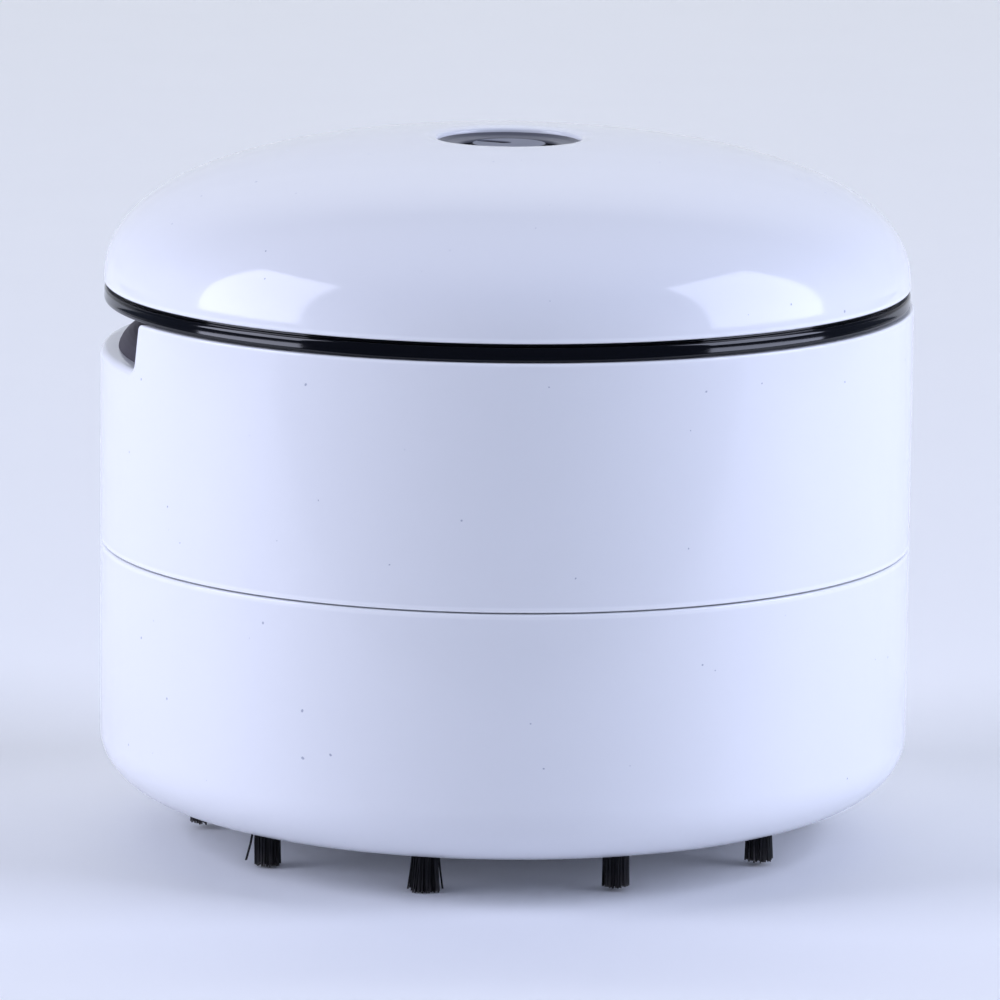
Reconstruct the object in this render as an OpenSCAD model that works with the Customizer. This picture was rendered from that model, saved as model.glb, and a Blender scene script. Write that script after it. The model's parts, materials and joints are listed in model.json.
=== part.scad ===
// Desktop mini vacuum cleaner. A round dust cup stands on a ring of bristle tufts. An upper
// housing with fan, motor and two cells pushes into it, and a domed lid with a button closes it.
// Millimetres, +Z up, front toward -Y, origin on the axis at the bristle tips.

/* [Shells] */
// Wall left outside the troughs' corners, which sets the body's diameter
corner_wall = 1.44; // [1:0.01:8]
// Height of the dust cup
cup_h = 26.6; // [25:0.2:40]
// Wall of the dust cup
cup_wall = 2; // [1.6:0.1:2.4]
// Floor of the dust cup
cup_floor = 3; // [2.6:0.1:4]
// Width of the rounding under the dust cup
base_round_w = 8.8; // [7:0.2:9]
// Height of the rounding under the dust cup
base_round_h = 6.7; // [5:0.1:9]
// Wall of the upper housing
housing_wall = 1.5; // [1.2:0.1:1.8]
// Dark gap between cup and housing
seam_gap = 0.3; // [0.2:0.05:0.6]
// Rounding of the shells' rims
rim_round = 0.3; // [0.2:0.05:0.5]

/* [Spigot and seal] */
// How far the housing reaches down into the cup
spigot_h = 5.2; // [5:0.2:7]
// Wall of the spigot
spigot_wall = 2; // [1.8:0.1:2.4]
// Side clearance of the spigot in the cup
spigot_fit = 0.3; // [0.25:0.05:0.5]
// Height of the seal's groove
groove_h = 1.8; // [1.2:0.1:2]
// Depth of the seal's groove
groove_depth = 0.9; // [0.6:0.1:1]
// How far the seal stands out of its groove
seal_proud = 0.1; // [0.05:0.05:0.15]

/* [Notch] */
// Width of the notch at the housing's rim
notch_top_w = 39.2; // [30:0.4:44]
// Width of the notch at its floor
notch_floor_w = 36.4; // [28:0.4:42]
// Depth of the notch below the rim
notch_depth = 4.4; // [4.2:0.1:6]
// Radius of the notch's lower corners
notch_corner = 1.2; // [0.6:0.1:2]

/* [Lid] */
// Visible height of the trim ring
ring_h = 1.8; // [1.4:0.1:3]
// How far the trim ring stands in from the housing
ring_inset = 0.35; // [0.2:0.05:0.6]
// Radial width of the trim ring
ring_w = 3.25; // [2.8:0.05:3.4]
// Shadow line between the housing and the trim ring
lid_gap = 0.1; // [0.05:0.05:0.3]
// Height of the dome
dome_h = 15.5; // [14.5:0.1:20]
// Wall of the dome
dome_wall = 2; // [1.6:0.1:2.2]
// Squareness of the dome's curve, 2 for an ellipse
dome_power = 2.39; // [2.1:0.01:2.8]
// Length of the tabs that locate the lid in the housing
tab_h = 2.5; // [2:0.1:2.6]
// Thickness of the lid's tabs
tab_t = 1.6; // [1.2:0.1:1.8]

/* [Button] */
// Outside diameter of the dish round the button
dish_d = 14.9; // [14:0.1:17]
// Diameter of the button
button_d = 10; // [9:0.1:10.6]
// Height of the button's crown above its edge
button_crown = 0.35; // [0.2:0.05:0.6]
// Depth of the button's edge below the dish's rim
button_sink = 0.9; // [0.7:0.1:1.1]
// Travel of the button
button_travel = 1.5; // [1:0.1:1.6]
// Side clearance of the button
button_fit = 0.3; // [0.25:0.05:0.4]

/* [Bristles] */
// Number of tufts
tuft_count = 10; // [6:1:12]
// How far the tufts stand in from the cup's side
tuft_inset = 11; // [10.8:0.1:14]
// Turn of the first tuft from the front
tuft_turn = -14.24; // [-18:0.01:18]
// Free length of the bristles under the cup
tuft_h = 4.3; // [4:0.1:8]
// Diameter of a tuft at its root
tuft_d = 2.9; // [2.6:0.1:3.2]
// How much wider a tuft is at its tips
tuft_flare = 1.18; // [1.05:0.01:1.3]
// Strands in a tuft
strand_count = 36; // [24:1:40]
// Diameter of a strand
strand_d = 0.26; // [0.2:0.01:0.28]
// Depth of the tuft's blind hole in the floor
tuft_seat_h = 1.9; // [1.5:0.1:2.2]

/* [Inlet and filter] */
// Bore of the suction inlet
inlet_d = 18; // [14:0.5:20]
// Height of the raised duct above the cup's floor
duct_h = 6; // [5:0.5:6.4]
// Wall of the duct
duct_wall = 1.5; // [1.2:0.1:2]
// Inside diameter of the filter's collar
collar_d = 34.4; // [32:0.2:38]
// Length of the collar under the fan deck
collar_h = 3.3; // [2.8:0.1:3.6]
// Wall of the collar and of the filter's frame
collar_wall = 1.2; // [1:0.1:1.5]
// Clearance of the filter's frame on its collar
filter_fit = 0.3; // [0.25:0.05:0.5]
// Height of the filter's frame
filter_h = 5.9; // [5.4:0.1:6.2]
// Thickness of the ribs that carry the filter
filter_rib = 0.8; // [0.6:0.1:1]
// Thickness of the filter pad
pad_t = 1; // [0.6:0.1:1.2]

/* [Fan] */
// Thickness of the fan deck
deck_t = 1.6; // [1.2:0.1:2]
// Diameter of the fan's eye
eye_d = 16; // [13:0.5:20]
// Diameter of the impeller
impeller_d = 42; // [36:0.5:46]
// Height of the blades at the hub
blade_h = 4.5; // [3.5:0.1:5]
// Height of the blades at their tips
blade_tip_h = 3.2; // [2:0.1:3.4]
// Thickness of the blades
blade_t = 0.9; // [0.7:0.1:1.2]
// Radius of the blades' curve
blade_curve_r = 14; // [12.5:0.1:16]
// Number of blades
blade_count = 9; // [6:1:11]
// Thickness of the impeller's back plate
back_plate_t = 1.2; // [1:0.1:1.6]
// Diameter of the impeller's hub
hub_d = 7.2; // [6:0.1:8]
// Gap between the impeller and the fan deck
fan_gap = 0.8; // [0.6:0.1:1.2]
// Gap between the impeller and the motor plate
rotor_gap = 1.8; // [1.8:0.1:2.6]

/* [Motor] */
// Diameter of the motor
motor_d = 24.4; // [22:0.1:25]
// Length of the motor's can
motor_l = 12.3; // [11:0.1:15]
// Diameter of the motor's shaft
shaft_d = 2; // [1.5:0.1:2.3]
// Running clearance of the shaft in its bushes
shaft_fit = 0.08; // [0.05:0.01:0.1]
// Diameter of the bushes
bush_d = 4.4; // [4:0.1:5]
// Thickness of the motor plate
motor_plate_t = 1.5; // [1.2:0.1:2]

/* [Battery tray] */
// Thickness of the tray's deck
tray_t = 1.5; // [1.2:0.1:1.8]
// Height of the rim above the tray
tray_drop = 3; // [2.8:0.1:3.4]
// Radius of the tray's shoulder
tray_shoulder = 2.6; // [2:0.1:3]
// Height of the tray's skirt
skirt_h = 4; // [3.4:0.1:5]
// Wall of the troughs
trough_wall = 1.2; // [1:0.1:1.3]
// Clearance round the tray and round the cells
tray_fit = 0.3; // [0.25:0.05:0.4]
// Diameter of a cell
cell_d = 14.2; // [13.5:0.1:14.5]
// Length of a cell with its nub
cell_l = 49.8; // [46:0.1:50.2]
// Length of a contact spring
spring_l = 2.6; // [2.4:0.1:3]
// Thickness of the contact plates
contact_t = 0.4; // [0.3:0.05:0.5]
// Side of the square contact plates
contact_w = 9; // [7:0.5:10]
// Width of the contacts' tails
tail_w = 4; // [3:0.5:5]
// Length of the tails on the tray
tail_l = 2.4; // [2:0.1:2.6]

/* [Switch] */
// Height of the board above the tray
board_lift = 2; // [1.8:0.1:2.4]
// Thickness of the board
board_t = 1.2; // [0.8:0.1:1.6]
// Side of the square switch
switch_w = 8.5; // [7:0.1:9]
// Height of the switch
switch_h = 6; // [5.5:0.1:6.5]
// Diameter of the leads
lead_d = 1; // [0.8:0.05:1.1]

/* [Screws] */
// Diameter of the large screws' shanks
screw_d = 2; // [1.7:0.1:2.2]
// Diameter of the large screws' heads
screw_head_d = 3.6; // [3.2:0.1:3.8]
// Height of the screws' heads
screw_head_h = 1.1; // [0.9:0.05:1.2]
// Diameter of the small screws' shanks
small_screw_d = 1.6; // [1.4:0.1:1.8]
// Diameter of the small screws' heads
small_head_d = 2.8; // [2.5:0.1:3]
// Clearance of the screws in their holes
screw_fit = 0.1; // [0.05:0.05:0.2]

/* [Hidden] */
$fn = 96;

// Colours, as the photograph shows them or as such parts have them
white = "#e9ebf4";
black = "#17181b";
tray_grey = "#2b2d33";
dish_grey = "#55575f";
button_grey = "#8d9099";
steel = "#b9bcc2";
brass = "#c9a24a";

// Plan: the motor on the axis, a cell on each side of it, and the shells round their corners
motor_r = motor_d / 2;
cell_r = cell_d / 2;
trough_ri = cell_r + tray_fit;
trough_ro = trough_ri + trough_wall;
cell_y = motor_r + 0.4 + trough_ro;
trough_l = cell_l + spring_l + 2 * contact_t + 2 * tray_fit;
trough_x = trough_l / 2;
tray_r = norm([trough_x, cell_y + trough_ri]) + corner_wall;
housing_ri = tray_r + tray_fit;
body_r = housing_ri + housing_wall;

// Shells, from the table up
cup_z0 = tuft_h;
floor_z = cup_z0 + cup_floor;
cup_top = cup_z0 + cup_h;
cup_ri = body_r - cup_wall;
housing_z0 = cup_top + seam_gap;
spigot_ro = cup_ri - spigot_fit;
spigot_ri = spigot_ro - spigot_wall;
spigot_z0 = housing_z0 - spigot_h;
groove_z0 = spigot_z0 + (spigot_h - groove_h) / 2;

// Fan deck: it seats against a ledge inside the spigot
deck_seat = 2.1;
ledge_w = 1.8;
ledge_t = 1.5;
deck_z1 = housing_z0 - deck_seat;
deck_z0 = deck_z1 - deck_t;
deck_r = spigot_ri - tray_fit;
ledge_ri = spigot_ri - ledge_w;
ledge_z1 = housing_z0 + ledge_t;

// Filter, hung on the deck's collar
collar_ro = collar_d / 2 + collar_wall;
filter_ri = collar_ro + filter_fit;
filter_ro = filter_ri + collar_wall;
filter_z1 = deck_z0 - filter_fit;
filter_z0 = filter_z1 - filter_h;

// Impeller and motor, stacked above the deck
impeller_r = impeller_d / 2;
blade_z0 = deck_z1 + fan_gap;
back_z0 = blade_z0 + blade_h;
back_z1 = back_z0 + back_plate_t;
hub_z0 = blade_z0 - 0.3;
hub_z1 = back_z1 + rotor_gap - 0.5;
shaft_r = shaft_d / 2;
press_gap = 0.02;
plate_z0 = back_z1 + rotor_gap;
motor_z0 = plate_z0 + motor_plate_t;
motor_z1 = motor_z0 + motor_l;
boss_h = 1;
boss_r = bush_d / 2 + 0.9;
bush_h = 2.2;
cap_t = 1.5;
rear_bush_z0 = motor_z1 - 0.3 - bush_h;
cap_r = motor_r - 0.6;
terminal_x = 5;
terminal_w = 2.2;
terminal_t = 0.5;
terminal_h = 2;

// Battery tray and cells
motor_headroom = 0.7;
tray_z0 = motor_z1 + motor_headroom;
tray_z1 = tray_z0 + tray_t;
cell_z = tray_z1 - tray_fit - cell_r;
plate_face_x = trough_x - contact_t;
tail_y = cell_y - contact_w / 2 + tail_w / 2;
plate_post_x = 17;
plate_post_y = 7;
plate_post_r = 2.3;
motor_screw_x = 8;
slot_w = 14;
slot_d = 6;

// Housing's top and lid
housing_top = tray_z1 + tray_drop;
ring_z0 = housing_top + lid_gap;
ring_ro = body_r - ring_inset;
ring_ri = ring_ro - ring_w;
dome_z0 = ring_z0 + ring_h;
dome_z1 = dome_z0 + dome_h;
notch_z0 = housing_top - notch_depth;
tab_turns = [-110, -55, 0, 55, 110];
tab_arc = 24;

// Pillars between the deck and the tray
pillar_turns = [-90, 0, 90];
pillar_at = housing_ri - 6;
pillar_r = 2.6;
rib_t = 1.6;
rib_z0 = housing_z0 + 0.3;
rib_z1 = tray_z1 - skirt_h - 0.9;
screw_depth = 7;
small_screw_depth = 2.6;

// Board, switch and button
board_z0 = tray_z1 + board_lift;
board_z1 = board_z0 + board_t;
board_l = 26;
board_w = 12;
board_screw_x = 10.5;
switch_z1 = board_z1 + switch_h;
plunger_r = 1.6;
dish_r = dish_d / 2;
button_r = button_d / 2;
button_gap = 0.3;
dish_z1 = dome_z1 - 0.25;
button_z1 = dish_z1 - button_sink;
button_t = 1.8;
button_z0 = button_z1 - button_t;
sleeve_ri = button_r + button_fit;
sleeve_ro = sleeve_ri + 1.2;
lip_z1 = button_z0 - button_travel - button_gap;
lip_t = 1.1;
lip_z0 = lip_z1 - lip_t;
stem_r = 2.2;
barb_r = 3;
barb_h = 1;
barb_z1 = lip_z0 - button_gap;
stem_z0 = barb_z1 - barb_h;
plunger_z1 = stem_z0 - button_gap;
plunger_z0 = switch_z1 - button_travel - 1.2;

// Points of an elliptical arc about c, from angle a0 to a1
function arc(c, rx, ry, a0, a1, n) =
    [for (i = [0:n]) c + [rx * cos(a0 + (a1 - a0) * i / n), ry * sin(a0 + (a1 - a0) * i / n)]];

// Half outline of the dome, from its foot to its top: a superellipse of the given power
function dome_curve(r, h, power, n) =
    [for (i = [0:n]) [r * pow(cos(90 * i / n), 2 / power), h * pow(sin(90 * i / n), 2 / power)]];

function unit(v) = v / norm(v);

// A smooth line through points, with n steps in each span (Catmull-Rom)
function smooth(p, n) = [
    for (i = [0:len(p) - 2], k = [0:(i == len(p) - 2 ? n : n - 1)])
        let (
            a = p[max(i - 1, 0)],
            b = p[i],
            c = p[i + 1],
            d = p[min(i + 2, len(p) - 1)],
            t = k / n)
            (2 * b + (c - a) * t + (2 * a - 5 * b + 4 * c - d) * t * t
             + (3 * b - a - 3 * c + d) * t * t * t) / 2];

// A closed tube of triangles along a path. Its rings stand square to the path, turned by ref.
module tube(path, r, sides, ref) {
    n = len(path);
    rings = [for (i = [0:n - 1])
        let (
            t = unit(path[min(i + 1, n - 1)] - path[max(i - 1, 0)]),
            u = unit(cross(t, ref)),
            v = cross(t, u))
            for (k = [0:sides - 1])
                path[i] + r * (cos(360 * k / sides) * u + sin(360 * k / sides) * v)];
    tube_mesh(rings, n, sides);
}

// The faces of a tube whose rings run along +path and turn anticlockwise about it
module tube_mesh(points, n, sides) {
    walls = [for (i = [0:n - 2], k = [0:sides - 1])
        let (
            a = i * sides + k,
            b = i * sides + (k + 1) % sides,
            c = a + sides,
            d = b + sides)
            for (f = [[a, d, b], [a, c, d]]) f];
    last = (n - 1) * sides;
    caps = [for (k = [1:sides - 2])
        for (f = [[0, k, k + 1], [last, last + k + 1, last + k]]) f];
    polyhedron(points = points, faces = concat(walls, caps));
}

// A screw with its head's bearing face at z = 0 and its shank along +Z
module screw(d, head_d, head_h, depth) {
    cylinder(d = d, h = depth);
    translate([0, 0, -head_h])
        cylinder(d = head_d, h = head_h);
}

module at_pillars() {
    for (a = pillar_turns)
        rotate([0, 0, a])
            translate([pillar_at, 0, 0])
                children();
}

module at_plate_posts() {
    for (x = [-1, 1], y = [-1, 1])
        translate([x * plate_post_x, y * plate_post_y, 0])
            children();
}

// ---- Dust cup ----

module dust_cup() {
    round_c = [body_r - base_round_w, cup_z0 + base_round_h];
    inlet_r = inlet_d / 2;
    duct_ro = inlet_r + duct_wall;
    color(white)
        difference() {
            rotate_extrude()
                polygon(concat(
                    [[inlet_r, cup_z0]],
                    arc(round_c, base_round_w, base_round_h, -90, 0, 12),
                    arc([body_r - rim_round, cup_top - rim_round], rim_round, rim_round, 0, 90, 3),
                    [[cup_ri, cup_top]],
                    arc(round_c, base_round_w - cup_wall, base_round_h - cup_floor, 0, -90, 10),
                    [[duct_ro, floor_z], [duct_ro, floor_z + duct_h], [inlet_r, floor_z + duct_h]]));
            for (i = [1:tuft_count])
                at_tuft(i)
                    translate([0, 0, cup_z0 - 1])
                        cylinder(d = tuft_d + 2 * press_gap, h = tuft_seat_h + 1, $fn = 32);
        }
}

// ---- Bristle tufts ----

module at_tuft(i) {
    rotate([0, 0, tuft_turn + 360 * (i - 1) / tuft_count])
        translate([0, tuft_inset - body_r, 0])
            children();
}

// One bunch: strands on a sunflower spiral, spread a little toward their cut tips at z = 0
module tuft(i) {
    root_r = (tuft_d - strand_d) / 2 - 0.05;
    strand_z1 = cup_z0 + 0.5;
    wander = rands(-0.06, 0.06, 2 * strand_count, 40 + i);
    color(black)
        at_tuft(i)
            union() {
                translate([0, 0, cup_z0])
                    cylinder(d = tuft_d, h = tuft_seat_h, $fn = 32);
                for (k = [0:strand_count - 1])
                    let (
                        reach = root_r * sqrt((k + 0.5) / strand_count),
                        turn = 137.508 * k,
                        root = [reach * cos(turn), reach * sin(turn)],
                        tip = tuft_flare * root + [wander[2 * k], wander[2 * k + 1]],
                        bend = 0.35 * (tip - root))
                        strand([
                            [tip[0], tip[1], 0],
                            [root[0] + bend[0], root[1] + bend[1], 0.5 * tuft_h],
                            [root[0], root[1], strand_z1]]);
            }
}

// A three-sided strand with level rings, so that its tip is cut flat
module strand(path) {
    rings = [for (p = path, k = [0:2])
        p + strand_d / 2 * [cos(120 * k), sin(120 * k), 0]];
    tube_mesh(rings, len(path), 3);
}

// ---- Upper housing ----

module notch_outline() {
    lower = notch_floor_w / 2;
    upper = notch_top_w / 2;
    polygon(concat(
        arc([notch_corner - lower, notch_z0 + notch_corner], notch_corner, notch_corner, 180, 270, 5),
        arc([lower - notch_corner, notch_z0 + notch_corner], notch_corner, notch_corner, 270, 360, 5),
        [[upper, housing_top + 1], [-upper, housing_top + 1]]));
}

module upper_housing() {
    groove_r = spigot_ro - groove_depth;
    color(white)
        difference() {
            union() {
                rotate_extrude()
                    polygon(concat(
                        [[spigot_ri, spigot_z0], [spigot_ro, spigot_z0],
                         [spigot_ro, groove_z0], [groove_r, groove_z0],
                         [groove_r, groove_z0 + groove_h], [spigot_ro, groove_z0 + groove_h],
                         [spigot_ro, housing_z0]],
                        arc([body_r - rim_round, housing_z0 + rim_round],
                            rim_round, rim_round, -90, 0, 3),
                        arc([body_r - rim_round, housing_top - rim_round],
                            rim_round, rim_round, 0, 90, 3),
                        [[housing_ri, housing_top], [housing_ri, ledge_z1], [ledge_ri, ledge_z1],
                         [ledge_ri, deck_z1], [spigot_ri, deck_z1]]));
                at_pillars()
                    translate([0, 0, deck_z1])
                        cylinder(r = pillar_r, h = tray_z0 - deck_z1, $fn = 48);
                for (a = pillar_turns)
                    rotate([0, 0, a])
                        translate([pillar_at, -rib_t / 2, rib_z0])
                            cube([housing_ri - pillar_at + 0.3, rib_t, rib_z1 - rib_z0]);
            }
            at_pillars() {
                translate([0, 0, deck_z1 - 1])
                    cylinder(d = screw_d + 2 * press_gap, h = screw_depth + 1, $fn = 32);
                translate([0, 0, tray_z0 - screw_depth])
                    cylinder(d = screw_d + 2 * press_gap, h = screw_depth + 1, $fn = 32);
            }
            translate([-body_r - 1, 0, 0])
                rotate([90, 0, 90])
                    linear_extrude(body_r / 2)
                        notch_outline();
        }
}

// A lip ring with a round nose, held in the spigot's groove
module seal_ring() {
    inner = spigot_ro - groove_depth + press_gap;
    h = groove_h - 2 * press_gap;
    color(tray_grey)
        rotate_extrude()
            translate([0, groove_z0 + press_gap])
                polygon(concat(
                    [[inner, h], [inner, 0]],
                    arc([spigot_ro - h / 3, h / 2], h / 3 + seal_proud, h / 2, -90, 90, 6)));
}

// ---- Fan deck and filter ----

module fan_deck() {
    eye_r = eye_d / 2;
    guard_w = 1.2;
    rib_turns = [-135, -45, 45, 135, 180];
    color(tray_grey)
        difference() {
            union() {
                rotate_extrude()
                    polygon([
                        [eye_r, deck_z0 - 1], [eye_r + 1.4, deck_z0], [collar_d / 2, deck_z0],
                        [collar_d / 2, deck_z0 - collar_h], [collar_ro, deck_z0 - collar_h],
                        [collar_ro, deck_z0], [deck_r, deck_z0], [deck_r, deck_z1],
                        [eye_r, deck_z1]]);
                for (a = [0, 90])
                    rotate([0, 0, a])
                        translate([-eye_r - 0.5, -guard_w / 2, deck_z0])
                            cube([eye_d + 1, guard_w, deck_t]);
                for (a = rib_turns)
                    rotate([0, 0, a])
                        translate([filter_ro + 1, -guard_w / 2, deck_z0 - 1])
                            cube([deck_r - filter_ro - 2, guard_w, 1.2]);
            }
            at_pillars()
                translate([0, 0, deck_z0 - 1])
                    cylinder(d = screw_d + 2 * screw_fit, h = deck_t + 2, $fn = 32);
        }
}

module deck_screws() {
    color(steel)
        at_pillars()
            translate([0, 0, deck_z0])
                screw(screw_d, screw_head_d, screw_head_h, deck_t + screw_depth - 1);
}

// A basket with an open wheel of ribs for its floor, slid over the deck's collar
module filter_frame() {
    floor_ri = filter_ri - 2;
    color(white)
        union() {
            rotate_extrude()
                polygon([
                    [floor_ri, filter_z0], [filter_ro, filter_z0], [filter_ro, filter_z1],
                    [filter_ri, filter_z1], [filter_ri, filter_z0 + filter_rib],
                    [floor_ri, filter_z0 + filter_rib]]);
            translate([0, 0, filter_z0])
                cylinder(r = 3, h = filter_rib);
            for (a = [0:60:300])
                rotate([0, 0, a])
                    translate([2, -0.6, filter_z0])
                        cube([floor_ri - 1.5, 1.2, filter_rib]);
        }
}

module filter_pad() {
    color("#d9d9d2")
        translate([0, 0, filter_z0 + filter_rib])
            cylinder(r = filter_ri - press_gap, h = pad_t);
}

// ---- Impeller and motor ----

// One blade's outline: an arc whose circle passes through the axis, so the blade leaves the hub
// nearly radially and leans back toward the rim
module blade_outline() {
    intersection() {
        translate([0, blade_curve_r])
            difference() {
                circle(r = blade_curve_r + blade_t / 2);
                circle(r = blade_curve_r - blade_t / 2);
            }
        translate([0, -impeller_r])
            square([impeller_r, impeller_d]);
        difference() {
            circle(r = impeller_r - 0.4);
            circle(r = hub_d / 2 - 0.4);
        }
    }
}

module impeller() {
    eye_r = eye_d / 2;
    color("#c9cdd6")
        difference() {
            union() {
                translate([0, 0, back_z0])
                    cylinder(r = impeller_r, h = back_plate_t);
                translate([0, 0, hub_z0])
                    cylinder(d = hub_d, h = hub_z1 - hub_z0);
                for (i = [1:blade_count])
                    rotate([0, 0, 360 * i / blade_count])
                        translate([0, 0, blade_z0])
                            linear_extrude(blade_h + back_plate_t / 2)
                                blade_outline();
            }
            rotate_extrude()
                polygon([
                    [eye_r, blade_z0 - 0.4], [impeller_r + 1, blade_z0 - 0.4],
                    [impeller_r + 1, back_z0 - blade_tip_h]]);
            translate([0, 0, hub_z0 + 0.8])
                cylinder(r = shaft_r + press_gap, h = hub_z1 - hub_z0);
        }
}

module motor_shaft() {
    color(steel)
        translate([0, 0, hub_z0 + 1])
            cylinder(r = shaft_r, h = motor_z1 - 0.4 - hub_z0 - 1, $fn = 48);
}

// A drawn can with a round boss for the front bush and a recess for the end cap
module motor_can() {
    color(steel)
        difference() {
            rotate_extrude()
                polygon(concat(
                    [[shaft_r + 0.4, motor_z0 - boss_h], [boss_r, motor_z0 - boss_h],
                     [boss_r, motor_z0]],
                    arc([motor_r - 0.6, motor_z0 + 0.6], 0.6, 0.6, -90, 0, 4),
                    [[motor_r, motor_z1], [cap_r, motor_z1], [cap_r, motor_z1 - cap_t],
                     [shaft_r + 0.4, motor_z1 - cap_t]]));
            translate([0, 0, motor_z0 - boss_h - 1])
                cylinder(d = bush_d, h = bush_h + 1);
            translate([0, 0, rear_bush_z0])
                cylinder(d = bush_d, h = bush_h);
            for (x = [-1, 1])
                translate([x * motor_screw_x, 0, motor_z0 - 1])
                    cylinder(d = small_screw_d + 2 * press_gap, h = small_screw_depth + 1, $fn = 32);
        }
}

module bush(z) {
    color(brass)
        translate([0, 0, z])
            difference() {
                cylinder(d = bush_d - 2 * press_gap, h = bush_h, $fn = 48);
                translate([0, 0, -1])
                    cylinder(r = shaft_r + shaft_fit, h = bush_h + 2, $fn = 48);
            }
}

module front_bush() {
    bush(motor_z0 - boss_h);
}

module rear_bush() {
    bush(rear_bush_z0);
}

module motor_end_cap() {
    color(black)
        difference() {
            translate([0, 0, motor_z1 - cap_t])
                cylinder(r = cap_r - press_gap, h = cap_t);
            translate([0, 0, rear_bush_z0])
                cylinder(d = bush_d, h = bush_h);
            for (x = [-1, 1])
                translate([x * terminal_x, 0, motor_z1])
                    cube([terminal_t + 0.1, terminal_w + 0.1, 2], center = true);
        }
}

module motor_terminals() {
    color(brass)
        for (x = [-1, 1])
            translate([x * terminal_x - terminal_t / 2, -terminal_w / 2, motor_z1 - 1])
                cube([terminal_t, terminal_w, terminal_h + 1]);
}

module motor_plate() {
    half_w = plate_post_y + 4;
    color(tray_grey)
        difference() {
            intersection() {
                translate([0, 0, plate_z0])
                    cylinder(r = plate_post_x + 4.5, h = motor_plate_t);
                translate([-plate_post_x - 5, -half_w, plate_z0])
                    cube([2 * plate_post_x + 10, 2 * half_w, motor_plate_t]);
            }
            translate([0, 0, plate_z0 - 1])
                cylinder(r = boss_r + 0.1, h = motor_plate_t + 2);
            for (x = [-1, 1])
                translate([x * motor_screw_x, 0, plate_z0 - 1])
                    cylinder(d = small_screw_d + 2 * screw_fit, h = motor_plate_t + 2, $fn = 32);
            at_plate_posts()
                translate([0, 0, plate_z0 - 1])
                    cylinder(d = small_screw_d + 2 * screw_fit, h = motor_plate_t + 2, $fn = 32);
        }
}

module motor_screws() {
    color(steel)
        for (x = [-1, 1])
            translate([x * motor_screw_x, 0, plate_z0])
                screw(small_screw_d, small_head_d, screw_head_h, motor_plate_t + small_screw_depth - 0.4);
}

module plate_screws() {
    color(steel)
        at_plate_posts()
            translate([0, 0, plate_z0])
                screw(small_screw_d, small_head_d, screw_head_h, motor_plate_t + screw_depth - 1);
}

// ---- Battery tray, cells and contacts ----

module at_cells() {
    for (y = [-1, 1])
        translate([0, y * cell_y, cell_z])
            children();
}

// A channel with a round bottom, along X, from below the cell's axis up to height h
module channel(r, half_l, h) {
    intersection() {
        rotate([0, 90, 0])
            translate([0, 0, -half_l])
                cylinder(r = r, h = 2 * half_l);
        translate([-half_l, -r, -r])
            cube([2 * half_l, 2 * r, r]);
    }
    translate([-half_l, -r, 0])
        cube([2 * half_l, 2 * r, h]);
}

module battery_tray() {
    shoulder_c = [tray_r - tray_shoulder, tray_z1 - tray_shoulder];
    color(tray_grey)
        difference() {
            union() {
                rotate_extrude()
                    polygon(concat(
                        [[0, tray_z0], [tray_r - tray_t, tray_z0],
                         [tray_r - tray_t, tray_z1 - skirt_h], [tray_r, tray_z1 - skirt_h]],
                        arc(shoulder_c, tray_shoulder, tray_shoulder, 0, 90, 8),
                        [[0, tray_z1]]));
                intersection() {
                    at_cells()
                        channel(trough_ro, trough_x + trough_wall, tray_z0 + 0.2 - cell_z);
                    translate([0, 0, cell_z - 2 * cell_r])
                        cylinder(r = tray_r, h = 4 * cell_r);
                }
                at_plate_posts()
                    translate([0, 0, motor_z0])
                        cylinder(r = plate_post_r, h = tray_z0 + 0.2 - motor_z0, $fn = 48);
                for (x = [-1, 1])
                    translate([x * board_screw_x, 0, tray_z1 - 0.2])
                        cylinder(d = small_screw_d + 2, h = board_lift + 0.2, $fn = 48);
            }
            at_cells()
                channel(trough_ri, trough_x, 2 * cell_r);
            at_plate_posts()
                translate([0, 0, motor_z0 - 1])
                    cylinder(d = small_screw_d + 2 * press_gap, h = screw_depth + 1, $fn = 32);
            for (x = [-1, 1])
                translate([x * board_screw_x, 0, tray_z1 + board_lift - small_screw_depth])
                    cylinder(d = small_screw_d + 2 * press_gap, h = small_screw_depth + 1, $fn = 32);
            at_pillars()
                translate([0, 0, tray_z0 - 1])
                    cylinder(d = screw_d + 2 * screw_fit, h = tray_t + 2, $fn = 32);
            translate([-slot_w / 2, -slot_d / 2, tray_z0 - 1])
                cube([slot_w, slot_d, tray_t + 2]);
            tray_vents();
        }
}

// Slots that let the fan's air out to the notch
module tray_vents() {
    vent_l = 7;
    vent_w = 1.8;
    vent_pitch = 4;
    for (i = [-2:2])
        translate([-tray_r + tray_shoulder + 2, i * vent_pitch - vent_w / 2, tray_z0 - 1])
            cube([vent_l, vent_w, tray_t + 2]);
}

module tray_screws() {
    color(steel)
        at_pillars()
            translate([0, 0, tray_z1])
                mirror([0, 0, 1])
                    screw(screw_d, screw_head_d, screw_head_h, tray_t + screw_depth - 1);
}

// A cell along X with its nub toward +X: crimped can, insulating shoulder and nub
module cell() {
    nub_l = 1.2;
    can_l = cell_l - nub_l;
    color("#3c5a52")
        translate([-plate_face_x + spring_l + tray_fit, 0, 0])
            rotate([0, 90, 0])
                rotate_extrude()
                    polygon(concat(
                        [[0, 0]],
                        arc([cell_r - 0.6, 0.6], 0.6, 0.6, -90, 0, 4),
                        [[cell_r, can_l - 2.4], [cell_r - 0.25, can_l - 1.9], [cell_r, can_l - 1.4]],
                        arc([cell_r - 0.8, can_l - 0.8], 0.8, 0.8, 0, 90, 4),
                        [[2.75, can_l], [2.75, cell_l - 0.3], [2.45, cell_l], [0, cell_l]]));
}

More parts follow.
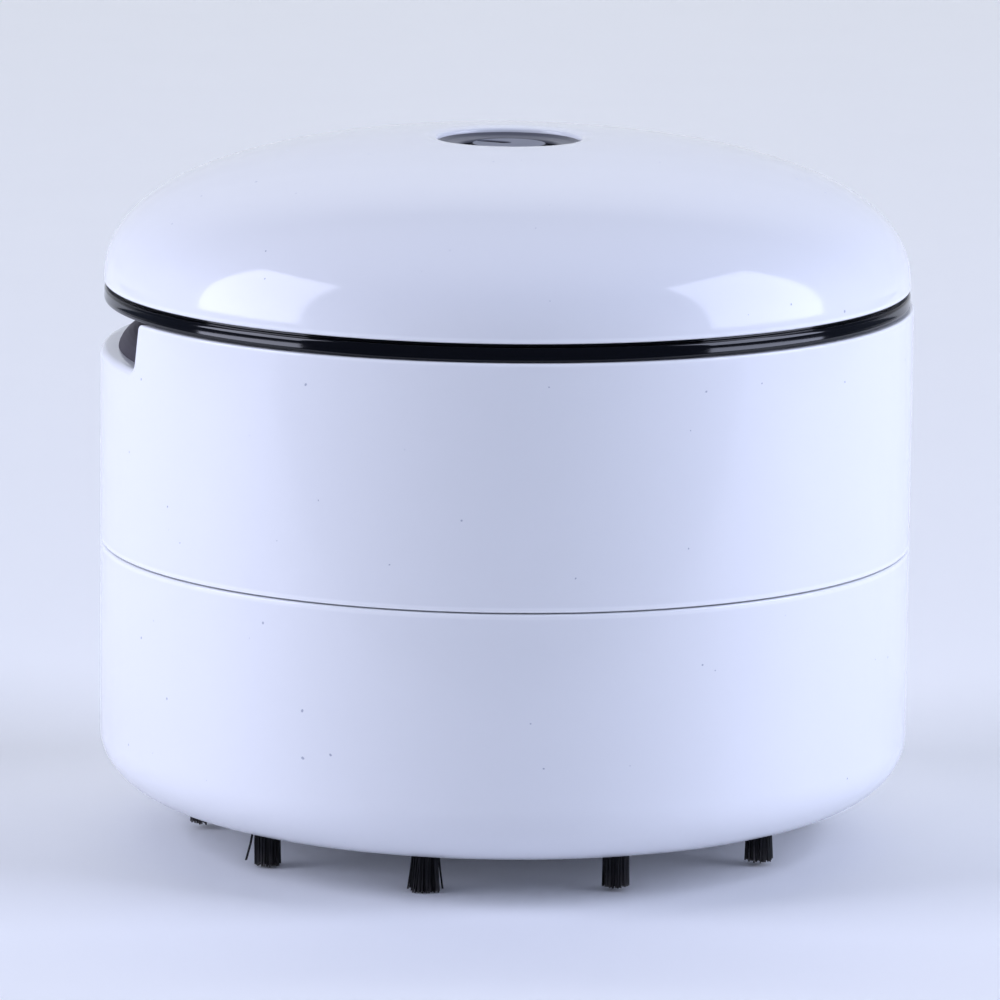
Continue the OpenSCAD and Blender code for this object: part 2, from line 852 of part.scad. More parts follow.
module aa_cell_front() {
    translate([0, -cell_y, cell_z])
        cell();
}

module aa_cell_rear() {
    translate([0, cell_y, cell_z])
        rotate([0, 0, 180])
            cell();
}

// A contact for the -X end of the rear trough: a plate on the cell's axis, and a tail on its inner
// side that climbs the end wall and lies out along the deck
module contact() {
    translate([-trough_x, cell_y - contact_w / 2, cell_z - contact_w / 2])
        cube([contact_t, contact_w, contact_w]);
    translate([-trough_x, tail_y - tail_w / 2, cell_z])
        cube([contact_t, tail_w, tray_z1 + contact_t - cell_z]);
    translate([-trough_x - tail_l, tail_y - tail_w / 2, tray_z1])
        cube([tail_l + contact_t, tail_w, contact_t]);
}

module positive_contact() {
    color(brass)
        contact();
}

module negative_contact() {
    color(brass)
        mirror([0, 1, 0])
            contact();
}

module bridge_contact() {
    color(brass)
        mirror([1, 0, 0]) {
            contact();
            mirror([0, 1, 0])
                contact();
            translate([-trough_x - tail_l, -tail_y, tray_z1])
                cube([tail_l - 0.2, 2 * tail_y, contact_t]);
        }
}

// A conical coil from the -X plate toward the cell. Its least gap to itself is printed.
spring_turns = 2.75;
spring_wire = 0.5;
spring_r0 = 3.6;
spring_r1 = 2.2;
spring_path = [for (i = [0:8 * spring_turns])
    let (t = i / (8 * spring_turns), r = spring_r0 + (spring_r1 - spring_r0) * t)
        [-plate_face_x + spring_wire / 2 + t * (spring_l - spring_wire), r * cos(45 * i), r * sin(45 * i)]];
spring_gap = min([for (i = [0:len(spring_path) - 9], k = [7:9])
    if (i + k < len(spring_path)) norm(spring_path[i] - spring_path[i + k]) - spring_wire]);
echo(least_gap_between_spring_curls = spring_gap);

module contact_spring() {
    color(steel)
        tube(spring_path, spring_wire / 2, 6, [1, 0, 0]);
}

module spring_front() {
    translate([0, -cell_y, cell_z])
        contact_spring();
}

module spring_rear() {
    translate([0, cell_y, cell_z])
        rotate([0, 0, 180])
            contact_spring();
}

// ---- Leads: round numbers chosen by hand, heights above the tray's deck ----

on_deck = tray_z1 + lead_d / 2 + 0.15;
on_tail = on_deck + contact_t;
on_board = board_z1 + lead_d / 2;
on_terminal = motor_z1 + terminal_h + lead_d / 2;
lead_x = trough_x + tail_l / 2;
edge_x = board_l / 2;

positive_route = [
    [-lead_x, tail_y, on_tail], [-lead_x, tail_y - tail_w / 2, on_tail],
    [-26.6, 11.5, on_deck], [-21, 8, on_deck], [-edge_x - 3.8, 5.6, on_deck + 0.8],
    [-edge_x - 2, 4.6, board_z0], [-edge_x - 0.8, 4.2, on_board],
    [1.6 - edge_x, 3.6, on_board]];

negative_route = [
    [-lead_x, -tail_y, on_tail], [-lead_x, tail_w / 2 - tail_y, on_tail],
    [-26.6, -11.5, on_deck], [-19, -6.6, on_deck], [-13, -4.4, on_deck],
    [-9, -3.4, on_deck], [-terminal_x - 0.8, -0.4, on_terminal]];

motor_route = [
    [edge_x - 1.6, -3.6, on_board], [edge_x + 0.6, -4.1, on_board],
    [edge_x + 2.2, -4.4, board_z0 + 0.3], [edge_x + 1.6, -4.4, on_deck + 0.2],
    [edge_x - 1, -4.2, on_deck], [9, -3.4, on_deck], [terminal_x + 0.8, -0.4, on_terminal]];

module lead(route, tone) {
    color(tone)
        tube(smooth(route, 4), lead_d / 2, 8, [0, 0, 1]);
}

module positive_lead() {
    lead(positive_route, "#b3262b");
}

module negative_lead() {
    lead(negative_route, black);
}

module motor_lead() {
    lead(motor_route, "#2f4fa8");
}

// ---- Board, switch and plunger ----

module switch_board() {
    color("#2f6b45")
        difference() {
            translate([-board_l / 2, -board_w / 2, board_z0])
                cube([board_l, board_w, board_t]);
            for (x = [-1, 1])
                translate([x * board_screw_x, 0, board_z0 - 1])
                    cylinder(d = small_screw_d + 2 * screw_fit, h = board_t + 2, $fn = 32);
        }
}

module board_screws() {
    color(steel)
        for (x = [-1, 1])
            translate([x * board_screw_x, 0, board_z1])
                mirror([0, 0, 1])
                    screw(small_screw_d, small_head_d, screw_head_h,
                          board_t + small_screw_depth - 0.4);
}

module switch_body() {
    color(black)
        difference() {
            translate([-switch_w / 2, -switch_w / 2, board_z1])
                cube([switch_w, switch_w, switch_h]);
            translate([0, 0, plunger_z0 - button_travel - 0.3])
                cylinder(r = plunger_r + 0.15, h = switch_h, $fn = 48);
        }
}

module switch_plunger() {
    color(white)
        translate([0, 0, plunger_z0])
            cylinder(r = plunger_r, h = plunger_z1 - plunger_z0, $fn = 48);
}

// ---- Lid ----

// The band that shows: fine round ridges below a shadow groove, with locating tabs inside
module trim_ring() {
    ridges = 3;
    ridge_deep = 0.14;
    shadow_h = 0.35;
    shadow_deep = 0.5;
    pitch = (ring_h - shadow_h) / ridges;
    lip_h = 1.8;
    lip_ro = ring_ro - dome_wall - tray_fit;
    tab_ro = housing_ri - tray_fit;
    color(black) {
        rotate_extrude()
            polygon(concat(
                [[ring_ri, ring_z0]],
                [for (i = [0:ridges - 1], k = [0:4])
                    [ring_ro - ridge_deep + ridge_deep * sin(45 * k), ring_z0 + pitch * (i + k / 4 * 0.9)]],
                [[ring_ro - shadow_deep, dome_z0 - shadow_h], [ring_ro - shadow_deep, dome_z0],
                 [lip_ro, dome_z0], [lip_ro - 0.3, dome_z0 + lip_h], [ring_ri, dome_z0 + lip_h]]));
        for (a = tab_turns)
            rotate([0, 0, a - tab_arc / 2])
                rotate_extrude(angle = tab_arc)
                    translate([tab_ro - tab_t, ring_z0 - tab_h])
                        square([tab_t, tab_h + 0.2]);
    }
}

module top_cover() {
    outer = dome_curve(ring_ro, dome_h, dome_power, 24);
    inner = dome_curve(ring_ro - dome_wall, dome_h - dome_wall, dome_power, 20);
    color(white)
        difference() {
            translate([0, 0, dome_z0])
                rotate_extrude()
                    polygon(concat(
                        [[ring_ro - rim_round, 0]],
                        [for (p = outer) if (p[1] > rim_round) p],
                        [for (i = [len(inner) - 1:-1:0]) inner[i]]));
            translate([0, 0, dish_z1 - 1.25])
                cylinder(r = dish_r + 0.05, h = 4);
            translate([0, 0, dome_z0])
                cylinder(r = sleeve_ro + 0.05, h = dome_h + 1);
        }
}

// The dish slopes in from its rim to the button, and its sleeve holds the button's stem
module button_bezel() {
    flange_t = 1.2;
    edge = 0.25;
    color(dish_grey)
        rotate_extrude()
            polygon(concat(
                [[stem_r + 0.4, lip_z0], [sleeve_ro, lip_z0], [sleeve_ro, dish_z1 - flange_t],
                 [dish_r, dish_z1 - flange_t]],
                arc([dish_r - edge, dish_z1 - edge], edge, edge, 0, 90, 3),
                [[sleeve_ri + 0.2, dish_z1 - button_sink], [sleeve_ri, dish_z1 - button_sink - 0.2],
                 [sleeve_ri, lip_z1], [stem_r + 0.4, lip_z1]]));
}

module power_button() {
    edge = 0.3;
    color(button_grey)
        rotate_extrude()
            polygon(concat(
                [[0, stem_z0], [barb_r - 0.5, stem_z0], [barb_r, stem_z0 + 0.6],
                 [barb_r, barb_z1], [stem_r, barb_z1], [stem_r, button_z0], [button_r, button_z0]],
                [[button_r, button_z1 - edge], [button_r - edge, button_z1]],
                [for (i = [1:6])
                    let (t = i / 6)
                        [(button_r - edge) * (1 - t), button_z1 + button_crown * (1 - (1 - t) * (1 - t))]]));
}

dust_cup();
for (i = [1:tuft_count])
    tuft(i);
upper_housing();
seal_ring();
fan_deck();
deck_screws();
filter_frame();
filter_pad();
impeller();
motor_shaft();
motor_can();
front_bush();
rear_bush();
motor_end_cap();
motor_terminals();
motor_plate();
motor_screws();
plate_screws();
battery_tray();
tray_screws();
positive_contact();
negative_contact();
bridge_contact();
spring_front();
spring_rear();
positive_lead();
negative_lead();
motor_lead();
switch_board();
board_screws();
switch_body();
switch_plunger();
trim_ring();
top_cover();
button_bezel();
power_button();
aa_cell_front();
aa_cell_rear();
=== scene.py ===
"""Looks of the desktop mini vacuum cleaner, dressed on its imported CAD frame.

+Z is up, the front faces -Y, and the origin is on the axis at the bristle tips. Sizes are written
in millimetres, as in the CAD source, and MM turns them into Blender's metres.
"""

import json
import math

import bmesh
import bpy
import numpy as np
from mathutils import Matrix, Vector


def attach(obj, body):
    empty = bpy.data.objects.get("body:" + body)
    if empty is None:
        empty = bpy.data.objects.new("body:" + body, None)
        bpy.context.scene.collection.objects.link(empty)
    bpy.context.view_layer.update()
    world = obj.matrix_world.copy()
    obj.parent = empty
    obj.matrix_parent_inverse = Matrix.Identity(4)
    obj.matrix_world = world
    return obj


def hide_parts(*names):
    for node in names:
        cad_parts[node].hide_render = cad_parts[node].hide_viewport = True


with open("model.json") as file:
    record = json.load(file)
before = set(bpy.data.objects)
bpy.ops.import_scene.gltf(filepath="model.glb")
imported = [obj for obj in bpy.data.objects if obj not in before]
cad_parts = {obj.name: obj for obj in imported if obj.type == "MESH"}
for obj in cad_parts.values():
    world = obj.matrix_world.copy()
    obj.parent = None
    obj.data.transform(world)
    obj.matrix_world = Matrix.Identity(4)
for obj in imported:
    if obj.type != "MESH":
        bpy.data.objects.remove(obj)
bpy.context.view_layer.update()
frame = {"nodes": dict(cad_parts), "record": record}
MM = 0.001

# Sizes that several pieces or finishes share. Most stand as in the CAD source, and the seam and
# the dish's rim are set to what the photograph shows
BODY_R = 42.5
CUP_Z0, CUP_TOP, CUP_WALL, CUP_FLOOR = 4.3, 31.05, 2.0, 3.0
HOUSING_Z0, HOUSING_TOP, HOUSING_RI = 31.2, 56.4, 40.85
RING_Z0, RING_R = 56.5, 42.15
DOME_Z0, DOME_H, DOME_POWER, DOME_WALL = 58.3, 15.5, 2.39, 2.0
DISH_R, DISH_Z1 = 7.45, 73.1
CELL_Y, CELL_Z = 21.2, 46.0
RIM_ROUND, FOOT_ROUND, SEAM_ROUND = 0.22, 0.3, 0.22
# A corner's radius where none is given, and how far from an arc its guard point stands
CORNER_ROUND, GUARD = 0.05, 0.04


# ---- Camera: the photograph's place, lens and slight roll ----

CAMERA_AT, CAMERA_DIP, CAMERA_ROLL = (-0.00054, -0.8, 0.1783), 10.15, 0.63
camera = bpy.data.objects.new("camera", bpy.data.cameras.new("camera"))
bpy.context.scene.collection.objects.link(camera)
camera.data.sensor_width = 36
camera.data.lens = 278.3
camera.data.clip_start = 0.05
camera.matrix_world = (
    Matrix.Translation(CAMERA_AT)
    @ Matrix.Rotation(math.radians(90 - CAMERA_DIP), 4, "X")
    @ Matrix.Rotation(math.radians(CAMERA_ROLL), 4, "Z"))
bpy.context.scene.camera = camera


# ---- Surfaces from grids of points ----

def grid_faces(rows, columns, close_rows, close_columns):
    """Quads (i, j), (i, j + 1), (i + 1, j + 1), (i + 1, j) of a grid, wrapped where it closes."""
    i, j = np.meshgrid(
        np.arange(rows if close_rows else rows - 1),
        np.arange(columns if close_columns else columns - 1), indexing="ij")
    k, n = (i + 1) % rows, (j + 1) % columns
    return np.stack(
        [i * columns + j, i * columns + n, k * columns + n, k * columns + j], -1).reshape(-1, 4)


def make_piece(name, grids, body, slot, replaces, sharp=38):
    """One object from grids of points in millimetres, each (points, close_rows).

    The columns always close. A grid may have a leading axis: that many copies of one form. A row
    drawn together in one point is a closed end. Edges that turn by more than sharp degrees stay
    crisp.
    """
    points, faces, first = [], [], 0
    for grid, close_rows in grids:
        copies = grid if grid.ndim == 4 else grid[None]
        count, rows, columns = copies.shape[:3]
        one = grid_faces(rows, columns, close_rows, True)
        shift = first + rows * columns * np.arange(count)
        faces.append((one[None] + shift[:, None, None]).reshape(-1, 4))
        points.append(copies.reshape(-1, 3))
        first += count * rows * columns
    points = np.concatenate(points) * MM
    faces = np.concatenate(faces)
    mesh = bpy.data.meshes.new(name)
    mesh.vertices.add(len(points))
    mesh.vertices.foreach_set("co", points.ravel())
    mesh.loops.add(faces.size)
    mesh.loops.foreach_set("vertex_index", faces.ravel())
    mesh.polygons.add(len(faces))
    mesh.polygons.foreach_set("loop_start", np.arange(0, faces.size, 4))
    mesh.update(calc_edges=True)
    work = bmesh.new()
    work.from_mesh(mesh)
    bmesh.ops.remove_doubles(work, verts=work.verts, dist=2e-7)
    work.to_mesh(mesh)
    work.free()
    mesh.validate()
    mesh.polygons.foreach_set("use_smooth", np.ones(len(mesh.polygons), bool))
    mesh.set_sharp_from_angle(angle=math.radians(sharp))
    mesh.materials.append(MATERIALS[slot])
    piece = bpy.data.objects.new(name, mesh)
    bpy.context.scene.collection.objects.link(piece)
    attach(piece, body)
    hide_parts(*replaces)
    return piece


def vertices(piece):
    """A piece's points in millimetres."""
    points = np.empty(len(piece.data.vertices) * 3, np.float32)
    piece.data.vertices.foreach_get("co", points)
    return points.reshape(-1, 3) / MM


def give_attribute(piece, name, values):
    """One number per point, for a material to read."""
    made = piece.data.attributes.new(name, "FLOAT", "POINT")
    made.data.foreach_set("value", np.asarray(values, np.float32))


def rounded(corners, steps=5, guard=GUARD, closed=True):
    """Outline through corners (r, z, radius), each turned into an arc tangent to both its sides.
    The radius may be left out, and an open outline keeps its two end corners sharp.

    With u and v the directions to the two neighbours and h half the angle between them, the arc
    starts radius / tan h along u, ends as far along v, and its centre lies radius / sin h along
    u + v. A guard point just outside each end keeps the flats flat in the shading.
    """
    rows = np.array([list(c) + [CORNER_ROUND] * (3 - len(c)) for c in corners], float)
    if closed:
        rows = np.vstack([rows[-1:], rows, rows[:1]])
    at, radius = rows[1:-1, :2], rows[1:-1, 2:]
    u, v = rows[:-2, :2] - at, rows[2:, :2] - at
    u /= np.linalg.norm(u, axis=1, keepdims=True)
    v /= np.linalg.norm(v, axis=1, keepdims=True)
    half = np.arccos(np.clip((u * v).sum(1, keepdims=True), -1, 1)) / 2
    reach = radius / np.tan(half)
    middle = u + v
    centre = at + middle / np.linalg.norm(middle, axis=1, keepdims=True) * radius / np.sin(half)
    start, end = at + u * reach - centre, at + v * reach - centre
    turn = np.pi - 2 * half
    s = np.linspace(0, 1, steps + 1)[None, :, None]
    arcs = centre[:, None] + (
        start[:, None] * np.sin((1 - s) * turn[:, None])
        + end[:, None] * np.sin(s * turn[:, None])) / np.sin(turn[:, None])
    outline = np.concatenate(
        [(at + u * (reach + guard))[:, None], arcs, (at + v * (reach + guard))[:, None]],
        axis=1).reshape(-1, 2)
    return outline if closed else np.vstack([rows[:1, :2], outline, rows[-1:, :2]])


def arc(centre, radius, start, end, steps):
    """Points of an arc about centre from start to end degrees. The radius is one number, or the
    two half widths of an ellipse."""
    a = np.radians(np.linspace(start, end, steps + 1))
    return np.multiply(radius, np.column_stack([np.cos(a), np.sin(a)])) + centre


def lathe(profile, turns=224, centre=(0, 0), rotate=0):
    """Revolved outline: profile point (r, z) at turn t lies at (r cos t, r sin t, z).

    The outline runs anticlockwise, up the outer wall, so the faces point outwards. The result is
    shifted by centre, then turned about the axis by rotate degrees.
    """
    t = np.linspace(0, 2 * np.pi, turns, endpoint=False)
    r, z = np.asarray(profile, float).T
    points = np.stack([
        np.outer(r, np.cos(t)) + centre[0],
        np.outer(r, np.sin(t)) + centre[1],
        np.repeat(z[:, None], turns, axis=1)], axis=-1)
    return turned(points, rotate)


def turned(points, degrees):
    """Points turned about the Z axis."""
    c, s = math.cos(math.radians(degrees)), math.sin(math.radians(degrees))
    return points @ np.array([[c, s, 0], [-s, c, 0], [0, 0, 1]])


def prism(outline, z0, z1):
    """Upright prism over a convex anticlockwise outline (x, y), closed by a fan at each end."""
    ring = np.asarray(outline, float)
    middle = np.repeat(ring.mean(0)[None], len(ring), axis=0)
    rows = [(middle, z0), (ring, z0), (ring, z1), (middle, z1)]
    return np.stack([np.column_stack([xy, np.full(len(ring), z)]) for xy, z in rows])


def bent_bar(profile, start, end, steps=24):
    """Bar of the section profile (r, z) carried round the axis from start to end degrees."""
    ring = np.asarray(profile, float)[::-1]
    middle = np.repeat(ring.mean(0)[None], len(ring), axis=0)
    angle = np.radians(np.linspace(start, end, steps))
    section = np.concatenate([middle[None], np.repeat(ring[None], steps, axis=0), middle[None]])
    angle = np.concatenate([angle[:1], angle, angle[-1:]])[:, None]
    r, z = section[..., 0], section[..., 1]
    return np.stack([r * np.cos(angle), r * np.sin(angle), z], axis=-1)


def sweep(path, radius, sides, reference):
    """Round tube along a path: each ring stands square to the tangent t, on u = t x reference
    and v = t x u, and both ends are closed."""
    path = np.asarray(path, float)
    t = np.gradient(path, axis=0)
    t /= np.linalg.norm(t, axis=1, keepdims=True)
    u = np.cross(t, reference)
    u /= np.linalg.norm(u, axis=1, keepdims=True)
    v = np.cross(t, u)
    angle = np.linspace(0, 2 * np.pi, sides, endpoint=False)[None, :, None]
    rings = path[:, None] + radius * (np.cos(angle) * u[:, None] + np.sin(angle) * v[:, None])
    ends = [np.repeat(path[i][None, None], sides, axis=1) for i in (0, -1)]
    return np.concatenate([ends[0], rings, ends[1]])


def smooth_line(points, steps):
    """Catmull-Rom line through points: a cubic in each span, whose slopes at a point come from
    its two neighbours."""
    p = np.asarray(points, float)
    padded = np.vstack([p[:1], p, p[-1:]])
    a, b, c, d = (padded[i:len(p) - 1 + i, None] for i in range(4))
    t = np.linspace(0, 1, steps, endpoint=False)[None, :, None]
    line = (2 * b + (c - a) * t + (2 * a - 5 * b + 4 * c - d) * t ** 2
            + (3 * b - a - 3 * c + d) * t ** 3) / 2
    return np.vstack([line.reshape(-1, 3), p[-1:]])


def dome_curve(r, h, power, steps):
    """Half outline of the dome from foot to top: (r cos^(2/power), h sin^(2/power))."""
    a = np.linspace(0, np.pi / 2, steps)
    return np.column_stack([r * np.cos(a) ** (2 / power), h * np.sin(a) ** (2 / power)])


# ---- Shader nodes ----

def node(tree, kind, inputs=None, **settings):
    """One node, with its inputs given as values or as sockets to link from."""
    made = tree.nodes.new(kind)
    for key, value in settings.items():
        setattr(made, key, value)
    for key, value in (inputs or {}).items():
        if isinstance(value, bpy.types.NodeSocket):
            tree.links.new(value, made.inputs[key])
        else:
            made.inputs[key].default_value = value
    return made


def maths(tree, operation, a, b=0.0, c=0.0):
    """Output of one Math node."""
    return node(tree, "ShaderNodeMath", {0: a, 1: b, 2: c}, operation=operation).outputs[0]


def blend_colour(tree, factor, a, b, mode="MIX"):
    """Output of one colour Mix node."""
    return node(tree, "ShaderNodeMix", {0: factor, 6: a, 7: b},
                data_type="RGBA", blend_type=mode).outputs[2]


def ramp(tree, value, low, high, to_low=0.0, to_high=1.0):
    """A value eased from one range to another."""
    return node(tree, "ShaderNodeMapRange",
                {"Value": value, "From Min": low, "From Max": high,
                 "To Min": to_low, "To Max": to_high},
                interpolation_type="SMOOTHSTEP").outputs[0]


def effect(name, inputs, outputs):
    """A new shader node group with named sockets. Returns the tree, its input and output nodes."""
    tree = bpy.data.node_groups.new(name, "ShaderNodeTree")
    for label, kind, value in inputs:
        socket = tree.interface.new_socket(label, in_out="INPUT", socket_type=kind)
        if value is not None:
            socket.default_value = value
    for label, kind in outputs:
        tree.interface.new_socket(label, in_out="OUTPUT", socket_type=kind)
    return tree, tree.nodes.new("NodeGroupInput"), tree.nodes.new("NodeGroupOutput")


FLOAT, COLOUR, VECTOR = "NodeSocketFloat", "NodeSocketColor", "NodeSocketVector"


def make_moulding():
    """Moulded plastic: the tone drifts a little over the part, the gloss varies in soft patches,
    and a fine grain or flow ripple gives the height."""
    tree, given, result = effect(
        "moulding",
        [("Place", VECTOR, None), ("Colour", COLOUR, (0.8, 0.8, 0.8, 1)), ("Tone", FLOAT, 0.04),
         ("Roughness", FLOAT, 0.3), ("Spread", FLOAT, 0.05), ("Grain size", FLOAT, 900.0)],
        [("Colour", COLOUR), ("Roughness", FLOAT), ("Height", FLOAT)])
    place = given.outputs["Place"]
    slow = node(tree, "ShaderNodeTexNoise", {"Vector": place, "Scale": 38.0, "Detail": 3.0})
    patch = node(tree, "ShaderNodeTexNoise", {"Vector": place, "Scale": 160.0, "Detail": 4.0})
    grain = node(tree, "ShaderNodeTexNoise",
                 {"Vector": place, "Scale": given.outputs["Grain size"], "Detail": 2.0})
    drift = maths(tree, "MULTIPLY_ADD", maths(tree, "SUBTRACT", slow.outputs[0], 0.5),
                  maths(tree, "MULTIPLY", given.outputs["Tone"], 2.0), 1.0)
    tint = node(tree, "ShaderNodeCombineColor", {0: drift, 1: drift, 2: drift}).outputs[0]
    colour = blend_colour(tree, 1.0, given.outputs["Colour"], tint, "MULTIPLY")
    gloss = maths(tree, "MULTIPLY_ADD", maths(tree, "SUBTRACT", patch.outputs[0], 0.5),
                  maths(tree, "MULTIPLY", given.outputs["Spread"], 2.0), given.outputs["Roughness"])
    tree.links.new(colour, result.inputs["Colour"])
    tree.links.new(gloss, result.inputs["Roughness"])
    tree.links.new(grain.outputs[0], result.inputs["Height"])
    return tree


def make_specks():
    """Dust specks: in a few cells of a cell pattern, the point nearest the cell's centre."""
    tree, given, result = effect(
        "dust_specks",
        [("Place", VECTOR, None), ("Cells", FLOAT, 260.0), ("Size", FLOAT, 0.06),
         ("Share", FLOAT, 0.1)],
        [("Mask", FLOAT)])
    bend = node(tree, "ShaderNodeTexNoise", {"Vector": given.outputs["Place"], "Scale": 900.0})
    wavy = node(tree, "ShaderNodeVectorMath",
                {0: bend.outputs["Color"], 1: (0.0004, 0.0004, 0.0004), 2: given.outputs["Place"]},
                operation="MULTIPLY_ADD")
    cells = node(tree, "ShaderNodeTexVoronoi",
                 {"Vector": wavy.outputs[0], "Scale": given.outputs["Cells"]})
    parts = node(tree, "ShaderNodeSeparateColor", {0: cells.outputs["Color"]})
    chosen = maths(tree, "LESS_THAN", parts.outputs[0], given.outputs["Share"])
    size = maths(tree, "MULTIPLY", given.outputs["Size"],
                 maths(tree, "MULTIPLY_ADD", parts.outputs[1], 1.2, 0.4))
    near = maths(tree, "LESS_THAN", cells.outputs["Distance"], size)
    tree.links.new(maths(tree, "MULTIPLY", chosen, near), result.inputs["Mask"])
    return tree


def make_turned_lines():
    """Lathe marks: fine rings about the Z axis, uneven in depth, as a height and a mask."""
    tree, given, result = effect(
        "turned_lines",
        [("Place", VECTOR, None), ("Lines", FLOAT, 900.0)],
        [("Height", FLOAT), ("Mask", FLOAT)])
    rings = node(tree, "ShaderNodeTexWave",
                 {"Vector": given.outputs["Place"], "Scale": given.outputs["Lines"],
                  "Distortion": 1.5, "Detail": 2.0, "Detail Scale": 2.0},
                 wave_type="RINGS", rings_direction="Z")
    uneven = node(tree, "ShaderNodeTexNoise", {"Vector": given.outputs["Place"], "Scale": 500.0})
    tree.links.new(maths(tree, "MULTIPLY", rings.outputs[1], uneven.outputs[0]),
                   result.inputs["Height"])
    tree.links.new(uneven.outputs[0], result.inputs["Mask"])
    return tree


def make_drawn_lines():
    """Drawn metal, fibres or strands: noise pulled out long along one axis, as a height, and a
    cloudy mask."""
    tree, given, result = effect(
        "drawn_lines",
        [("Place", VECTOR, None), ("Stretch", VECTOR, (1.0, 1.0, 1.0))],
        [("Height", FLOAT), ("Mask", FLOAT)])
    pulled = node(tree, "ShaderNodeVectorMath",
                  {0: given.outputs["Place"], 1: given.outputs["Stretch"]}, operation="MULTIPLY")
    lines = node(tree, "ShaderNodeTexNoise",
                 {"Vector": pulled.outputs[0], "Scale": 1.0, "Detail": 4.0, "Roughness": 0.65})
    cloud = node(tree, "ShaderNodeTexNoise", {"Vector": given.outputs["Place"], "Scale": 220.0})
    tree.links.new(lines.outputs[0], result.inputs["Height"])
    tree.links.new(cloud.outputs[0], result.inputs["Mask"])
    return tree


MOULDING = make_moulding()
SPECKS = make_specks()
TURNED = make_turned_lines()
DRAWN = make_drawn_lines()
MATERIALS = {}


class Finish:
    """One material, kept in MATERIALS under its name: a Principled shader whose constant numbers
    sit on its own sockets."""

    def __init__(self, name, **constants):
        self.material = MATERIALS[name] = bpy.data.materials.new(name)
        self.material.use_nodes = True
        self.tree = self.material.node_tree
        self.tree.nodes.clear()
        self.shader = node(self.tree, "ShaderNodeBsdfPrincipled")
        for key, value in constants.items():
            self.shader.inputs[key.replace("_", " ")].default_value = value
        node(self.tree, "ShaderNodeOutputMaterial", {0: self.shader.outputs[0]})
        self.place = node(self.tree, "ShaderNodeTexCoord").outputs["Object"]

    def group(self, tree, **inputs):
        """A shared effect placed in this material with its own values."""
        given = {key.replace("_", " "): value for key, value in inputs.items()}
        return node(self.tree, "ShaderNodeGroup", {"Place": self.place, **given},
                    node_tree=tree).outputs

    def feed(self, **sockets):
        """Links outputs to the shader's inputs."""
        for key, value in sockets.items():
            self.tree.links.new(value, self.shader.inputs[key.replace("_", " ")])

    def bump(self, height, depth_mm, strength):
        """Turns a height into the shader's normal."""
        made = node(self.tree, "ShaderNodeBump",
                    {"Height": height, "Distance": depth_mm * MM, "Strength": strength})
        self.feed(Normal=made.outputs[0])


def rgb(r, g, b):
    """A colour as sockets want it, with full alpha."""
    return (r, g, b, 1.0)


# The floor paper's colour, and the colour of the painted highlight along the white shell's rims
PALE_WHITE = (0.87, 0.88, 0.90)


def plastic(name, colour, roughness, grain, tone=0.04, depth=0.02, strength=0.3, **constants):
    """A moulded plastic: its shade, its gloss and the size and depth of its grain."""
    finish = Finish(name, **constants)
    look = finish.group(MOULDING, Colour=rgb(*colour), Tone=tone, Roughness=roughness,
                        Spread=0.04, Grain_size=grain)
    finish.feed(Base_Color=look["Colour"], Roughness=look["Roughness"])
    finish.bump(look["Height"], depth, strength)


def glossy_shell(name, colour, dust, dust_share, roughness, painted_highlight_rims=(), **constants):
    """Polished shell: slow flow ripples in the gloss, a few dust specks lying on it, and a painted
    highlight, a paler colour, along the thin rims at the heights given."""
    finish = Finish(name, **constants)
    look = finish.group(MOULDING, Colour=rgb(*colour), Tone=0.012, Roughness=roughness,
                        Spread=0.03, Grain_size=55.0)
    specks = finish.group(SPECKS, Cells=700.0, Size=0.07, Share=dust_share)["Mask"]
    tree = finish.tree
    shade, edge = look["Colour"], 0.0
    # Painted highlight: the colour turns pale within about half a millimetre of each rim's height
    if painted_highlight_rims:
        height = node(tree, "ShaderNodeSeparateXYZ", {0: finish.place}).outputs[2]
        for z in painted_highlight_rims:
            near = ramp(tree, maths(tree, "ABSOLUTE", maths(tree, "SUBTRACT", height, z * MM)),
                        0.45 * MM, 0.15 * MM)
            edge = maths(tree, "MAXIMUM", edge, near)
        shade = blend_colour(tree, edge, shade, rgb(*PALE_WHITE))
    finish.feed(
        Base_Color=blend_colour(tree, specks, shade, rgb(*dust)),
        Roughness=maths(tree, "MAXIMUM", look["Roughness"], maths(tree, "MULTIPLY", specks, 0.7)))
    finish.bump(look["Height"], 0.03, 0.12)


def metal(name, colour, roughness, turned_lines=0.0, drawn=None):
    """A metal with lathe rings about the axis, or lines drawn along one direction."""
    finish = Finish(name, Metallic=1.0)
    if drawn is None:
        look = finish.group(TURNED, Lines=turned_lines)
    else:
        look = finish.group(DRAWN, Stretch=drawn)
    tree = finish.tree
    gloss = ramp(tree, look["Mask"], 0.3, 0.7, roughness * 0.8, roughness * 1.25)
    darker = [0.72 * c for c in colour]
    finish.feed(Base_Color=blend_colour(tree, ramp(tree, look["Height"], 0.25, 0.75),
                                        rgb(*darker), rgb(*colour)), Roughness=gloss)
    finish.bump(look["Height"], 0.01, 0.4)


def shaded_plastic(name, colour, shadow, roughness, spread, grain, strength, **constants):
    """Satin plastic, near black and dull where the piece's own shaded numbers say so: painted shade
    in the dish's hole and on the button's bevel, and the button's dark bar.
    """
    finish = Finish(name, **constants)
    tree = finish.tree
    look = finish.group(MOULDING, Colour=rgb(*colour), Tone=0.05, Roughness=roughness,
                        Spread=spread, Grain_size=grain)
    dark = node(tree, "ShaderNodeAttribute", attribute_name="shaded").outputs["Fac"]
    finish.feed(
        Base_Color=blend_colour(tree, dark, look["Colour"], rgb(*shadow)),
        Roughness=maths(tree, "MAXIMUM", look["Roughness"], maths(tree, "MULTIPLY", dark, 0.9)))
    finish.bump(look["Height"], 0.01, strength)


